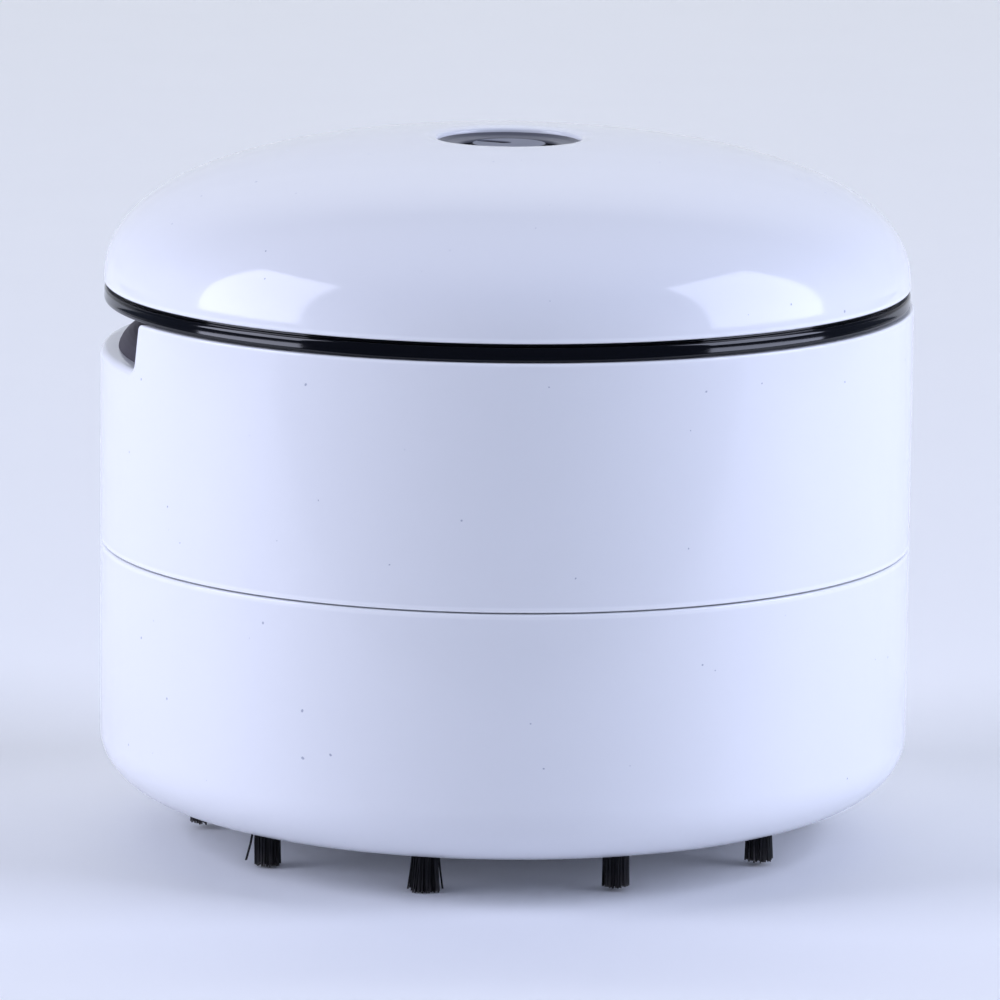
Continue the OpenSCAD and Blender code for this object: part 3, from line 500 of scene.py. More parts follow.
def bristle_finish():
    """Black nylon: each strand has its own shade, and a painted highlight makes some cut ends pale.
    """
    finish = Finish("bristle_nylon", Roughness=0.45, Specular_IOR_Level=0.22)
    tree = finish.tree
    shade = node(tree, "ShaderNodeAttribute", attribute_name="strand_shade").outputs["Fac"]
    tip = node(tree, "ShaderNodeAttribute", attribute_name="painted_tip_highlight").outputs["Fac"]
    body = blend_colour(tree, shade, rgb(0.0015, 0.0015, 0.0025), rgb(0.007, 0.007, 0.010))
    # Painted highlight: the cut ends of the lighter strands turn pale
    finish.feed(Base_Color=blend_colour(tree, maths(tree, "MULTIPLY", tip, shade), body,
                                        rgb(0.16, 0.15, 0.14)))
    lines = finish.group(DRAWN, Stretch=(9000.0, 9000.0, 500.0))
    finish.bump(lines["Height"], 0.01, 0.3)


def felt_finish():
    """Pressed felt: short fibres in every direction, in two sizes."""
    finish = Finish("felt", Roughness=0.95, Sheen_Weight=0.35, Sheen_Roughness=0.5)
    tree = finish.tree
    a = finish.group(DRAWN, Stretch=(600.0, 4200.0, 2500.0))["Height"]
    b = finish.group(DRAWN, Stretch=(4600.0, 700.0, 2300.0))["Height"]
    fibres = maths(tree, "MAXIMUM", a, b)
    finish.feed(Base_Color=blend_colour(tree, ramp(tree, fibres, 0.4, 0.75),
                                        rgb(0.5, 0.5, 0.46), rgb(0.82, 0.82, 0.78)))
    finish.bump(fibres, 0.25, 0.9)


TRACK_PITCH, TRACK_HALF, TRACK_SOFT, TRACK_REACH = 1.6, 0.30, 0.06, 11.8


def board_finish():
    """Green laminate: woven glass under the mask, and a few straight copper tracks along X."""
    finish = Finish("board_laminate", Coat_Weight=0.5, Coat_Roughness=0.12)
    tree = finish.tree
    weave = node(tree, "ShaderNodeTexBrick",
                 {"Vector": finish.place, "Scale": 900.0, "Mortar Size": 0.03,
                  "Color1": rgb(0.028, 0.15, 0.07), "Color2": rgb(0.034, 0.17, 0.08),
                  "Mortar": rgb(0.02, 0.12, 0.055)})
    axes = node(tree, "ShaderNodeSeparateXYZ", {0: finish.place})
    lane = maths(tree, "PINGPONG", axes.outputs[1], TRACK_PITCH * MM)
    track = maths(tree, "MULTIPLY",
                  ramp(tree, lane, (TRACK_HALF + TRACK_SOFT) * MM, TRACK_HALF * MM),
                  maths(tree, "LESS_THAN", maths(tree, "ABSOLUTE", axes.outputs[0]),
                        TRACK_REACH * MM))
    finish.feed(Base_Color=blend_colour(tree, maths(tree, "MULTIPLY", track, 0.7),
                                        weave.outputs[0], rgb(0.06, 0.26, 0.12)))
    look = finish.group(MOULDING, Roughness=0.42, Spread=0.05, Grain_size=1400.0)
    finish.feed(Roughness=look["Roughness"])
    finish.bump(maths(tree, "MULTIPLY_ADD", look["Height"], 0.1, track), 0.04, 0.6)


BARE_R, BARE_FROM, BAND_FROM, BAND_TO, BAND_SOFT = 6.1, 22.6, 15.0, 16.6, 0.1


def jacket_finish():
    """A cell's plain jacket: bare steel ends, a dark green sleeve and one pale band at each end.

    Places are taken along X and square to it from the cell's axis, which both cells have at the
    same height and at equal distances from the middle.
    """
    finish = Finish("cell_jacket", Coat_Weight=0.6, Coat_Roughness=0.08)
    tree = finish.tree
    axes = node(tree, "ShaderNodeSeparateXYZ", {0: finish.place})
    along = maths(tree, "ABSOLUTE", axes.outputs[0])
    aside = maths(tree, "SUBTRACT", maths(tree, "ABSOLUTE", axes.outputs[1]), CELL_Y * MM)
    above = maths(tree, "SUBTRACT", axes.outputs[2], CELL_Z * MM)
    across = maths(tree, "POWER", maths(tree, "ADD", maths(tree, "POWER", aside, 2.0),
                                        maths(tree, "POWER", above, 2.0)), 0.5)
    bare = maths(tree, "LESS_THAN", across, BARE_R * MM)
    end = maths(tree, "GREATER_THAN", along, BARE_FROM * MM)
    steel = maths(tree, "MULTIPLY", bare, end)
    band = maths(tree, "MULTIPLY",
                 ramp(tree, along, BAND_FROM * MM, (BAND_FROM + BAND_SOFT) * MM),
                 ramp(tree, along, BAND_TO * MM, (BAND_TO - BAND_SOFT) * MM))
    look = finish.group(MOULDING, Colour=rgb(0.02, 0.085, 0.07), Tone=0.05, Roughness=0.26,
                        Spread=0.05, Grain_size=500.0)
    sleeve = blend_colour(tree, band, look["Colour"], rgb(0.6, 0.61, 0.6))
    finish.feed(Base_Color=blend_colour(tree, steel, sleeve, rgb(0.62, 0.62, 0.62)),
                Metallic=steel, Roughness=look["Roughness"])
    finish.bump(look["Height"], 0.015, 0.2)


# The white shell gets a painted highlight on both sides of the seam, along the housing's top and
# along the dome's foot
glossy_shell("gloss_white", (0.80, 0.81, 0.84), (0.42, 0.44, 0.52), 0.12, 0.1,
             painted_highlight_rims=(CUP_TOP - 0.2, HOUSING_Z0 + 0.2, HOUSING_TOP, DOME_Z0 + 0.2),
             Specular_IOR_Level=0.36)
glossy_shell("gloss_black", (0.002, 0.002, 0.004), (0.1, 0.1, 0.11), 0.04, 0.08,
             Specular_IOR_Level=0.42)
shaded_plastic("dish_grey", (0.105, 0.108, 0.13), (0.004, 0.004, 0.007), 0.34, 0.04, 1300.0, 0.3,
               Specular_IOR_Level=0.35)
shaded_plastic("button_grey", (0.215, 0.225, 0.27), (0.008, 0.008, 0.014), 0.55, 0.05, 1500.0, 0.4,
               Specular_IOR_Level=0.2)
bristle_finish()
plastic("dark_plastic", (0.048, 0.042, 0.055), 0.55, grain=2600.0, tone=0.08, depth=0.05,
        strength=0.5, Specular_IOR_Level=0.3)
plastic("natural_plastic", (0.68, 0.69, 0.70), 0.36, grain=1100.0)
plastic("black_nylon", (0.018, 0.018, 0.02), 0.42, grain=2200.0, depth=0.04)
plastic("switch_white", (0.78, 0.78, 0.75), 0.3, grain=1500.0)
plastic("seal_rubber", (0.03, 0.03, 0.034), 0.72, grain=3000.0, tone=0.1, depth=0.03, strength=0.5)
felt_finish()
metal("screw_steel", (0.56, 0.56, 0.58), 0.3, drawn=(2500.0, 2500.0, 600.0))
metal("motor_steel", (0.60, 0.60, 0.62), 0.27, turned_lines=420.0)
metal("contact_nickel", (0.66, 0.65, 0.61), 0.2, drawn=(1200.0, 4800.0, 1200.0))
metal("bronze", (0.55, 0.38, 0.16), 0.34, turned_lines=700.0)
board_finish()
plastic("red_insulation", (0.42, 0.018, 0.02), 0.4, grain=1800.0)
plastic("black_insulation", (0.012, 0.012, 0.013), 0.4, grain=1800.0)
plastic("blue_insulation", (0.015, 0.06, 0.33), 0.4, grain=1800.0)
jacket_finish()


# ---- Every CAD node takes the finish of its slot ----

for part in frame["record"]["subparts"]:
    shown = frame["nodes"][part["node"]]
    shown.data.materials.clear()
    shown.data.materials.append(MATERIALS[part["material_slot"]])


# ---- Dust cup ----

BASE_ROUND_W, BASE_ROUND_H = 8.8, 6.7
INLET_R, INLET_ROUND = 9.0, 0.5
DUCT_WALL, DUCT_FOOT, DUCT_Z1 = 1.5, 0.7, 13.3
CUP_RIM_ROUND = 0.2
cup_ri, floor_z, duct_r = BODY_R - CUP_WALL, CUP_Z0 + CUP_FLOOR, INLET_R + DUCT_WALL
base_at = (BODY_R - BASE_ROUND_W, CUP_Z0 + BASE_ROUND_H)
cup_outline = np.vstack([
    arc((INLET_R + INLET_ROUND, CUP_Z0 + INLET_ROUND), INLET_ROUND, 180, 270, 6),
    [[INLET_R + INLET_ROUND + 0.1, CUP_Z0], [base_at[0] - 0.3, CUP_Z0]],
    arc(base_at, (BASE_ROUND_W, BASE_ROUND_H), -90, 0, 40),
    [[BODY_R, CUP_TOP - SEAM_ROUND - GUARD]],
    arc((BODY_R - SEAM_ROUND, CUP_TOP - SEAM_ROUND), SEAM_ROUND, 0, 90, 6),
    [[BODY_R - SEAM_ROUND - GUARD, CUP_TOP], [cup_ri + CUP_RIM_ROUND + GUARD, CUP_TOP]],
    arc((cup_ri + CUP_RIM_ROUND, CUP_TOP - CUP_RIM_ROUND), CUP_RIM_ROUND, 90, 180, 4),
    [[cup_ri, CUP_TOP - CUP_RIM_ROUND - 0.1], [cup_ri, base_at[1] + 0.1]],
    arc(base_at, (BASE_ROUND_W - CUP_WALL, BASE_ROUND_H - CUP_FLOOR), 0, -90, 24),
    [[base_at[0] - 0.2, floor_z], [duct_r + DUCT_FOOT + 0.1, floor_z]],
    arc((duct_r + DUCT_FOOT, floor_z + DUCT_FOOT), DUCT_FOOT, 270, 180, 5),
    [[duct_r, floor_z + DUCT_FOOT + 0.1], [duct_r, DUCT_Z1 - 0.4]],
    arc((duct_r - DUCT_WALL / 2, DUCT_Z1 - DUCT_WALL / 2), DUCT_WALL / 2, 0, 180, 10)])

# A low lip round each tuft's hole, its foot sunk in the floor
TUFTS, TUFT_R, TUFT_TURN = 10, 31.5, -14.24
TUFT_HOLE_R, LIP_PROUD, LIP_SUNK = 1.5, 0.16, 0.2
tuft_angles = np.radians(TUFT_TURN + 360 / TUFTS * np.arange(TUFTS))
tuft_centres = TUFT_R * np.column_stack([np.sin(tuft_angles), -np.cos(tuft_angles)])
lip = rounded([(TUFT_HOLE_R, CUP_Z0 + LIP_SUNK), (TUFT_HOLE_R, CUP_Z0 - LIP_PROUD, 0.06),
               (TUFT_HOLE_R + 0.28, CUP_Z0 - LIP_PROUD, 0.12),
               (TUFT_HOLE_R + 0.45, CUP_Z0 + LIP_SUNK)], steps=3, guard=0.01)
socket_lips = lathe(lip, turns=40)[None] + np.pad(tuft_centres, ((0, 0), (0, 1)))[:, None, None]
make_piece("cup_shell", [(lathe(cup_outline), True), (socket_lips, True)], "cup", "gloss_white",
           ["dust_cup"])


# ---- Bristle tufts ----

ROOT_R, ROOT_Z, SPIRAL_TURN = 1.33, CUP_Z0 + 0.9, 137.508
STRAND_SIDES, STRAND_THIN, STRAND_THICK = 5, 0.088, 0.112
PLUG_R, PLUG_Z0, PLUG_Z1 = 1.45, CUP_Z0 + 0.1, CUP_Z0 + 1.9
# Length in mm of the painted highlight at each strand's cut end
TIP_HIGHLIGHT_LENGTH = 0.25


def bristle_bunch(number, strands=118, spread=1.08, unruly=0.05, short=0.35, stray=None):
    """Cut strands of one tuft.

    Root k lies on a sunflower spiral, at radius R sqrt((k + 0.5) / n) and turn 137.5 degrees
    times k. Its tip lies spread times as far out plus a small random lean, and the strand bends
    between them with the 1.6th power of the way down. Most strands are cut short mm above the
    table, give or take, and the longest reach it. A stray strand leans out on its own by the given
    (x, y). Every section is a five-sided ring, and a plug fills the hole round the roots.
    """
    draw = np.random.default_rng(100 + number)
    k = np.arange(strands)
    turn = math.radians(SPIRAL_TURN) * k
    root = ROOT_R * np.sqrt((k + 0.5) / strands)[:, None] * np.column_stack(
        [np.cos(turn), np.sin(turn)])
    tip = spread * root + draw.normal(0, unruly, (strands, 2))
    cut = np.abs(short + draw.normal(0, 0.03 + unruly, strands))
    cut -= cut.min() * (short < 0.1)
    if stray:
        outermost = np.argmin(root[:, 0])
        root[outermost] += (-0.06, -0.25)
        tip[outermost] = root[outermost] + stray
        cut[outermost] = 0.65
    way = np.array([0.0, 0.3, 0.62, 0.95, 1.0])[None, :, None]
    xy = root[:, None] + (tip - root)[:, None] * way ** 1.6
    z = ROOT_Z + (cut[:, None] - ROOT_Z) * way[..., 0]
    path = np.concatenate([xy, z[..., None]], axis=-1)[:, ::-1]
    angle = np.linspace(0, 2 * np.pi, STRAND_SIDES, endpoint=False)
    ring = np.column_stack([np.cos(angle), np.sin(angle), np.zeros(STRAND_SIDES)])
    thick = draw.uniform(STRAND_THIN, STRAND_THICK, strands)
    thick[np.argmin(root[:, 0])] *= 1.3 if stray else 1.0
    rings = path[:, :, None] + thick[:, None, None, None] * ring[None, None]
    ends = [np.repeat(path[:, i][:, None, None], STRAND_SIDES, axis=2) for i in (0, -1)]
    grid = np.concatenate([ends[0], rings, ends[1]], axis=1)
    centre = np.append(tuft_centres[number - 1], 0)
    plug = lathe([(0, PLUG_Z0), (PLUG_R, PLUG_Z0), (PLUG_R, PLUG_Z1), (0, PLUG_Z1)], turns=28)
    piece = make_piece(f"bristles_{number}", [(grid + centre, False), (plug + centre, False)],
                       "cup", "bristle_nylon", [f"tuft_{number}"], sharp=60)
    # One tone per strand, and spare ones for the plug's points, which come last
    count = len(piece.data.vertices)
    each = count // strands
    tones = np.repeat(draw.uniform(0, 1, strands + 40), each)[:count]
    cut_z = np.append(np.repeat(cut, each), np.zeros(count - each * strands))
    give_attribute(piece, "strand_shade", tones)
    # Painted highlight: pale toward each strand's cut end, over its last few tenths of a millimetre
    give_attribute(piece, "painted_tip_highlight",
                   np.clip(1.2 - (vertices(piece)[:, 2] - cut_z) / TIP_HIGHLIGHT_LENGTH, 0, 1))


# How the tufts that the photograph shows are worn. The others stand as new
WORN = {
    1: dict(spread=1.26, unruly=0.13, short=0.0),
    2: dict(spread=1.02, short=0.5),
    3: dict(spread=1.1, short=0.55),
    4: dict(short=0.75),
    9: dict(short=0.7),
    10: dict(spread=1.0, short=0.28, stray=(-0.85, -0.1)),
}
for number in range(1, TUFTS + 1):
    bristle_bunch(number, **WORN.get(number, {}))


# ---- Upper housing: a band whose rim dips at the notch ----

NOTCH_TOP_W, NOTCH_FLOOR_W, NOTCH_Z0 = 39.2, 36.4, 51.45
NOTCH_TOP_ROUND, NOTCH_CORNER = 0.7, 1.2
NOTCH_ROUND, NOTCH_LIP = 0.7, 0.42
NOTCH_END_Y = 24.0
BAND_TURNS = 180
SPIGOT_R, SPIGOT_RI, SPIGOT_Z0 = 40.2, 38.2, 26.0
SEAL_R, SEAL_Z0, SEAL_Z1 = 39.3, 27.7, 29.5
LEDGE_RI, LEDGE_Z0, LEDGE_Z1 = 36.4, 29.1, 32.7


def notched_band():
    """The housing's wall as one grid, rows round the section and columns round the body.

    Through the notch a column stands at the rim's outline point (y, z), found on the outer and the
    inner cylinder as x = -sqrt(r^2 - y^2), since the notch is cut straight along X. Elsewhere
    columns stand at even turns. The rim is rounded by R: at roundness angle a the surface has come
    in by R (1 - cos a) and lies R (1 - sin a) under the outline, square to it. R grows with the
    notch's depth on the outside, from RIM_ROUND to NOTCH_ROUND. Under the wall follow the ledge
    for the fan deck, and the spigot with its seal's groove.
    """
    corners = rounded(
        [(NOTCH_END_Y, HOUSING_TOP), (NOTCH_TOP_W / 2, HOUSING_TOP, NOTCH_TOP_ROUND),
         (NOTCH_FLOOR_W / 2, NOTCH_Z0, NOTCH_CORNER), (-NOTCH_FLOOR_W / 2, NOTCH_Z0, NOTCH_CORNER),
         (-NOTCH_TOP_W / 2, HOUSING_TOP, NOTCH_TOP_ROUND), (-NOTCH_END_Y, HOUSING_TOP)],
        steps=8, closed=False)
    way = np.append(0, np.cumsum(np.linalg.norm(np.diff(corners, axis=0), axis=1)))
    stations = np.unique(np.concatenate([way, np.arange(0, way[-1], 0.8)]))
    y, z = np.interp(stations, way, corners[:, 0]), np.interp(stations, way, corners[:, 1])
    slope = np.column_stack([np.gradient(y, stations), np.gradient(z, stations)])
    slope /= np.linalg.norm(slope, axis=1, keepdims=True)
    out_y, out_z = slope[:, 1], -slope[:, 0]
    depth = (HOUSING_TOP - z) / (HOUSING_TOP - NOTCH_Z0)

    def row(radius, height=None, rim=None, inset=0.0, drop=0.0, past=0.0, lip=0.0):
        """Points at one radius, either at a fixed height or under the rim's outline.

        rim is the roundness at each notch column, inset and drop are its shares by which the points
        come in and lie low, past is a last small step down, and lip reaches in as the notch
        deepens.
        """
        if rim is None:
            at_radius, at_y, at_z = radius, y, np.full_like(y, height)
            rest_radius, rest_z = radius, height
        else:
            at_radius, under = radius + inset * rim - lip * depth, drop * rim + past
            at_y, at_z = y - under * out_y, z - under * out_z
            rest_radius = radius + inset * RIM_ROUND
            rest_z = HOUSING_TOP - drop * RIM_ROUND - past
        notch = np.column_stack([-np.sqrt(at_radius ** 2 - at_y ** 2), at_y, at_z])
        end = math.asin(NOTCH_END_Y / rest_radius)
        t = np.linspace(np.pi + end, 3 * np.pi - end, BAND_TURNS + 2)[1:-1]
        rest = np.column_stack([
            rest_radius * np.cos(t), rest_radius * np.sin(t), np.full(len(t), rest_z)])
        return np.vstack([notch, rest])

    a = np.radians(np.linspace(0, 90, 9))
    inset, drop = 1 - np.cos(a), 1 - np.sin(a)
    outer_round = RIM_ROUND + (NOTCH_ROUND - RIM_ROUND) * depth
    inner_round = np.full_like(z, RIM_ROUND)
    below_notch = NOTCH_Z0 - 1.3
    foot = arc((BODY_R - SEAM_ROUND, HOUSING_Z0 + SEAM_ROUND), SEAM_ROUND, -90, 0, 6)
    under = rounded(
        [(HOUSING_RI, 45), (HOUSING_RI, LEDGE_Z1, 0.3), (LEDGE_RI, LEDGE_Z1, 0.2),
         (LEDGE_RI, LEDGE_Z0, 0.1), (SPIGOT_RI, LEDGE_Z0, 0.1), (SPIGOT_RI, SPIGOT_Z0, 0.2),
         (SPIGOT_R, SPIGOT_Z0, 0.35), (SPIGOT_R, SEAL_Z0, 0.08), (SEAL_R, SEAL_Z0, 0.1),
         (SEAL_R, SEAL_Z1, 0.1), (SPIGOT_R, SEAL_Z1, 0.08), (SPIGOT_R, HOUSING_Z0, 0.1),
         (BODY_R - SEAM_ROUND - 0.1, HOUSING_Z0)], steps=3, guard=0.03, closed=False)
    return np.stack(
        [row(r, h) for r, h in foot]
        + [row(BODY_R, HOUSING_Z0 + SEAM_ROUND + GUARD), row(BODY_R, below_notch),
           row(BODY_R, rim=outer_round, drop=1, past=GUARD)]
        + [row(BODY_R, rim=outer_round, inset=-i, drop=d) for i, d in zip(inset, drop)]
        + [row(HOUSING_RI, rim=inner_round, inset=i, drop=d, lip=NOTCH_LIP)
           for i, d in zip(inset[::-1], drop[::-1])]
        + [row(HOUSING_RI, rim=inner_round, drop=1, past=GUARD, lip=NOTCH_LIP),
           row(HOUSING_RI, rim=inner_round, drop=1, past=0.5), row(HOUSING_RI, below_notch)]
        + [row(r, h) for r, h in under])


# Three screw pillars over the fan deck, each tied to the wall by a rib
PILLAR_AT, PILLAR_R, PILLAR_BORE_R, PILLAR_Z1 = 35.0, 2.6, 1.02, 51.9
RIB_X1, RIB_HALF, RIB_Z0, RIB_Z1 = 41.3, 0.8, 31.5, 47.0
pillar = rounded([(PILLAR_BORE_R, LEDGE_Z0), (PILLAR_R, LEDGE_Z0), (PILLAR_R, PILLAR_Z1),
                  (PILLAR_BORE_R, PILLAR_Z1)], steps=3)
rib = prism([[PILLAR_AT, -RIB_HALF], [RIB_X1, -RIB_HALF], [RIB_X1, RIB_HALF],
             [PILLAR_AT, RIB_HALF]], RIB_Z0, RIB_Z1)
housing_grids = [(notched_band(), True)]
for angle in (-90, 0, 90):
    housing_grids.append((lathe(pillar, 40, (PILLAR_AT, 0), angle), True))
    housing_grids.append((turned(rib, angle), False))
make_piece("housing_shell", housing_grids, "housing", "gloss_white", ["upper_housing"])


# ---- Trim ring: two beads under a shadow groove, and the tabs that locate the lid ----

EDGE = 0.05
RING_RI, RING_FOOT_R = 38.9, 41.95
BEADS = ((42.14, 56.85, 0.6, 14), (42.13, 57.56, 0.5, 32))
SHADOW_Z, SHADOW_R = 57.9, 41.0
COLLAR_R0, COLLAR_R1, COLLAR_Z1 = 39.9, 39.5, 60.1
TAB_RI, TAB_R, TAB_Z0, TAB_Z1 = 39.1, 40.7, 54.0, 56.7
TAB_HALF_ARC, TAB_TURNS = 12, (-110, -55, 0, 55, 110)


def bead(r, z, radius, tilt):
    """Arc down the face, whose normal falls from tilt degrees to level at (r, z)."""
    a = np.radians(np.linspace(0, tilt, 7))
    return np.column_stack([r - radius * (1 - np.cos(a)), z + radius * np.sin(a)])


ring_profile = np.vstack([
    [[RING_RI, RING_Z0 + EDGE], [RING_RI + EDGE, RING_Z0], [RING_FOOT_R - 0.1, RING_Z0]],
    arc((RING_FOOT_R, RING_Z0 + 0.2), (0.18, 0.2), -90, -5, 6),
    bead(*BEADS[0]),
    bead(*BEADS[1]),
    rounded([(42.04, SHADOW_Z - 0.06), (41.99, SHADOW_Z, 0.03), (SHADOW_R, SHADOW_Z, 0.08),
             (SHADOW_R, DOME_Z0, 0.08), (SHADOW_R - 0.1, DOME_Z0)], steps=3, guard=0.01,
            closed=False)[1:],
    [[COLLAR_R0, DOME_Z0], [COLLAR_R0 - EDGE, DOME_Z0 + EDGE],
     [COLLAR_R1 + EDGE, COLLAR_Z1 - EDGE], [COLLAR_R1, COLLAR_Z1], [RING_RI + EDGE, COLLAR_Z1],
     [RING_RI, COLLAR_Z1 - EDGE]]])
tab = rounded([(TAB_RI, TAB_Z0, 0.3), (TAB_R, TAB_Z0, 0.3), (TAB_R, TAB_Z1), (TAB_RI, TAB_Z1)],
              steps=4)
ring_grids = [(lathe(ring_profile, 320), True)]
ring_grids += [(bent_bar(tab, a - TAB_HALF_ARC, a + TAB_HALF_ARC), False)
               for a in TAB_TURNS]
make_piece("lid_ring", ring_grids, "lid", "gloss_black", ["trim_ring"], sharp=50)


# ---- Dome ----

HOLE_R, SLEEVE_HOLE_R, SHELF_Z = DISH_R + 0.05, 6.55, 72.3
LIP_DROP, LIP_REACH, LIP_ROUND = 0.24, 0.6, 0.35
# The outer surface dips toward the dish by LIP_DROP exp(-(distance / LIP_REACH)^2)
outer = dome_curve(RING_R, DOME_H, DOME_POWER, 110) + (0, DOME_Z0)
inner = dome_curve(RING_R - DOME_WALL, DOME_H - DOME_WALL, DOME_POWER, 60) + (0, DOME_Z0)
outer[:, 1] -= LIP_DROP * np.exp(-((outer[:, 0] - HOLE_R) / LIP_REACH) ** 2)
hole_z = np.interp(HOLE_R + LIP_ROUND, outer[::-1, 0], outer[::-1, 1])
inner_z = np.interp(SLEEVE_HOLE_R, inner[::-1, 0], inner[::-1, 1])
outer = outer[(outer[:, 1] > DOME_Z0 + FOOT_ROUND + 0.06)
              & (outer[:, 0] > HOLE_R + LIP_ROUND + 0.1)]
inner = inner[inner[:, 0] > SLEEVE_HOLE_R + 0.1]
dome_profile = np.vstack([
    arc((RING_R - FOOT_ROUND, DOME_Z0 + FOOT_ROUND), FOOT_ROUND, -90, 0, 7),
    outer,
    arc((HOLE_R + LIP_ROUND, hole_z - LIP_ROUND), LIP_ROUND, 90, 180, 6),
    [[HOLE_R, SHELF_Z + EDGE], [HOLE_R - EDGE, SHELF_Z], [SLEEVE_HOLE_R + EDGE, SHELF_Z],
     [SLEEVE_HOLE_R, SHELF_Z - EDGE], [SLEEVE_HOLE_R, inner_z]],
    inner[::-1],
    [[RING_R - DOME_WALL + EDGE, DOME_Z0]]])
make_piece("dome_shell", [(lathe(dome_profile, 320), True)], "lid", "gloss_white", ["top_cover"])


# ---- Dish: a flange on a sleeve, whose face falls to the button's hole ----

HOLE_IN_R, ROLL_W, ROLL_H, DISH_FALL = 5.25, 0.45, 0.32, 0.36
WELL_R, WELL_Z0, WELL_Z1, SLEEVE_R, SLEEVE_Z0 = 5.35, 69.05, 70.1, 6.5, 67.95
STEM_HOLE_R, FLANGE_Z0, DISH_EDGE = 2.6, 72.35, 0.1
low_z = DISH_Z1 - DISH_FALL
roll_r, roll_z = HOLE_IN_R + ROLL_W, low_z - ROLL_H
dish_profile = np.vstack([
    rounded([(WELL_R, WELL_Z0 + 0.25), (WELL_R, WELL_Z0, 0.1), (STEM_HOLE_R, WELL_Z0, 0.1),
             (STEM_HOLE_R, SLEEVE_Z0, 0.1), (SLEEVE_R, SLEEVE_Z0, 0.2), (SLEEVE_R, FLANGE_Z0, 0.1),
             (DISH_R, FLANGE_Z0, 0.1), (DISH_R, FLANGE_Z0 + 0.35)],
            steps=5, guard=0.02, closed=False),
    arc((DISH_R - DISH_EDGE, DISH_Z1 - DISH_EDGE), DISH_EDGE, 0, 130, 6),
    rounded([(DISH_R - 0.17, DISH_Z1 - 0.03), (DISH_R - 0.65, low_z + 0.08, 0.8),
             (roll_r + 0.06, low_z + 0.01)], steps=8, guard=0.02, closed=False)[1:],
    arc((roll_r, roll_z), (ROLL_W, ROLL_H), 96, 180, 12),
    [[HOLE_IN_R, WELL_Z1 + 0.1], [WELL_R, WELL_Z1]]])
dish = make_piece("button_dish", [(lathe(dish_profile, 160), True)], "lid", "dish_grey",
                  ["button_bezel"])
# Painted shade: the hole's wall below the roll is made near black and dull
place = vertices(dish)
in_hole = (np.linalg.norm(place[:, :2], axis=1) < HOLE_IN_R + 0.2) & (place[:, 2] > WELL_Z1 - 0.1)
give_attribute(dish, "shaded", in_hole * np.clip((roll_z + 0.2 - place[:, 2]) / 0.2, 0, 1))


# ---- Button: a low crown on a bevelled skirt, with a plain engraved bar, on a barbed stem ----

CROWN_R, CROWN_Z, CROWN_RISE, CROWN_ROUND = 3.75, 72.9, 0.1, 0.22
BAR_FROM, BAR_TO, BAR_HALF, BAR_DEPTH, BAR_EASE = (-0.5, 0.0), (-2.6, 1.6), 0.72, 0.16, 0.16
BUTTON_R, SKIRT_Z0, SKIRT_Z1 = 4.95, 70.85, 71.8
STEM_R, BARB_R, BARB_Z0, BARB_Z1 = 2.2, 3.0, 66.65, 67.65


def bar_mask(xy):
    """How far inside the engraved bar a point is, from 0 to 1: the distance to the nearest point
    of the bar's middle line, eased over BAR_EASE about its half width."""
    start, way = np.array(BAR_FROM), np.subtract(BAR_TO, BAR_FROM)
    along = np.clip((xy - start) @ way / (way @ way), 0, 1)
    apart = np.linalg.norm(xy - start - along[..., None] * way, axis=-1)
    inside = np.clip((BAR_HALF + BAR_EASE / 2 - apart) / BAR_EASE, 0, 1)
    return inside ** 2 * (3 - 2 * inside)


crown = np.linspace(0, 1, 64)[:, None]
button_profile = np.vstack([
    [[0, BARB_Z0], [BARB_R - 0.5, BARB_Z0], [BARB_R, BARB_Z0 + 0.6], [BARB_R, BARB_Z1],
     [STEM_R, BARB_Z1], [STEM_R, SKIRT_Z0 - EDGE], [STEM_R + EDGE, SKIRT_Z0],
     [BUTTON_R - 0.1, SKIRT_Z0], [BUTTON_R, SKIRT_Z0 + 0.1]],
    arc((BUTTON_R - 0.2, SKIRT_Z1), 0.2, 0, 50, 4),
    arc((CROWN_R, CROWN_Z - CROWN_ROUND), CROWN_ROUND, 30, 88, 6),
    np.hstack([CROWN_R * (1 - crown), CROWN_Z + CROWN_RISE * (1 - (1 - crown) ** 2)])])
button_grid = lathe(button_profile, 256)
on_top = button_grid[..., 2] > CROWN_Z - 0.001
button_grid[..., 2] -= BAR_DEPTH * bar_mask(button_grid[..., :2]) * on_top
button = make_piece("button_cap", [(button_grid, False)], "button", "button_grey",
                    ["power_button"])
# Painted shade: the bevel round the crown is made near black and dull, as the gap's shadow, and the
# engraved bar is made as dark
place = vertices(button)
bevel = np.clip((np.linalg.norm(place[:, :2], axis=1) - CROWN_R + 0.05) / 0.15, 0, 1)
give_attribute(button, "shaded", np.maximum(bevel, bar_mask(place[:, :2])))


# ---- Felt pad, contact springs and leads ----

PAD_R, PAD_Z0, PAD_Z1, AXIS_R = 18.5, 22.1, 23.1, 0.02
pad = rounded([(AXIS_R, PAD_Z0), (PAD_R, PAD_Z0, 0.35), (PAD_R, PAD_Z1, 0.45), (AXIS_R, PAD_Z1)],
              steps=4)
felt = make_piece("filter_felt", [(lathe(pad, 128), True)], "filter", "felt", ["filter_pad"])

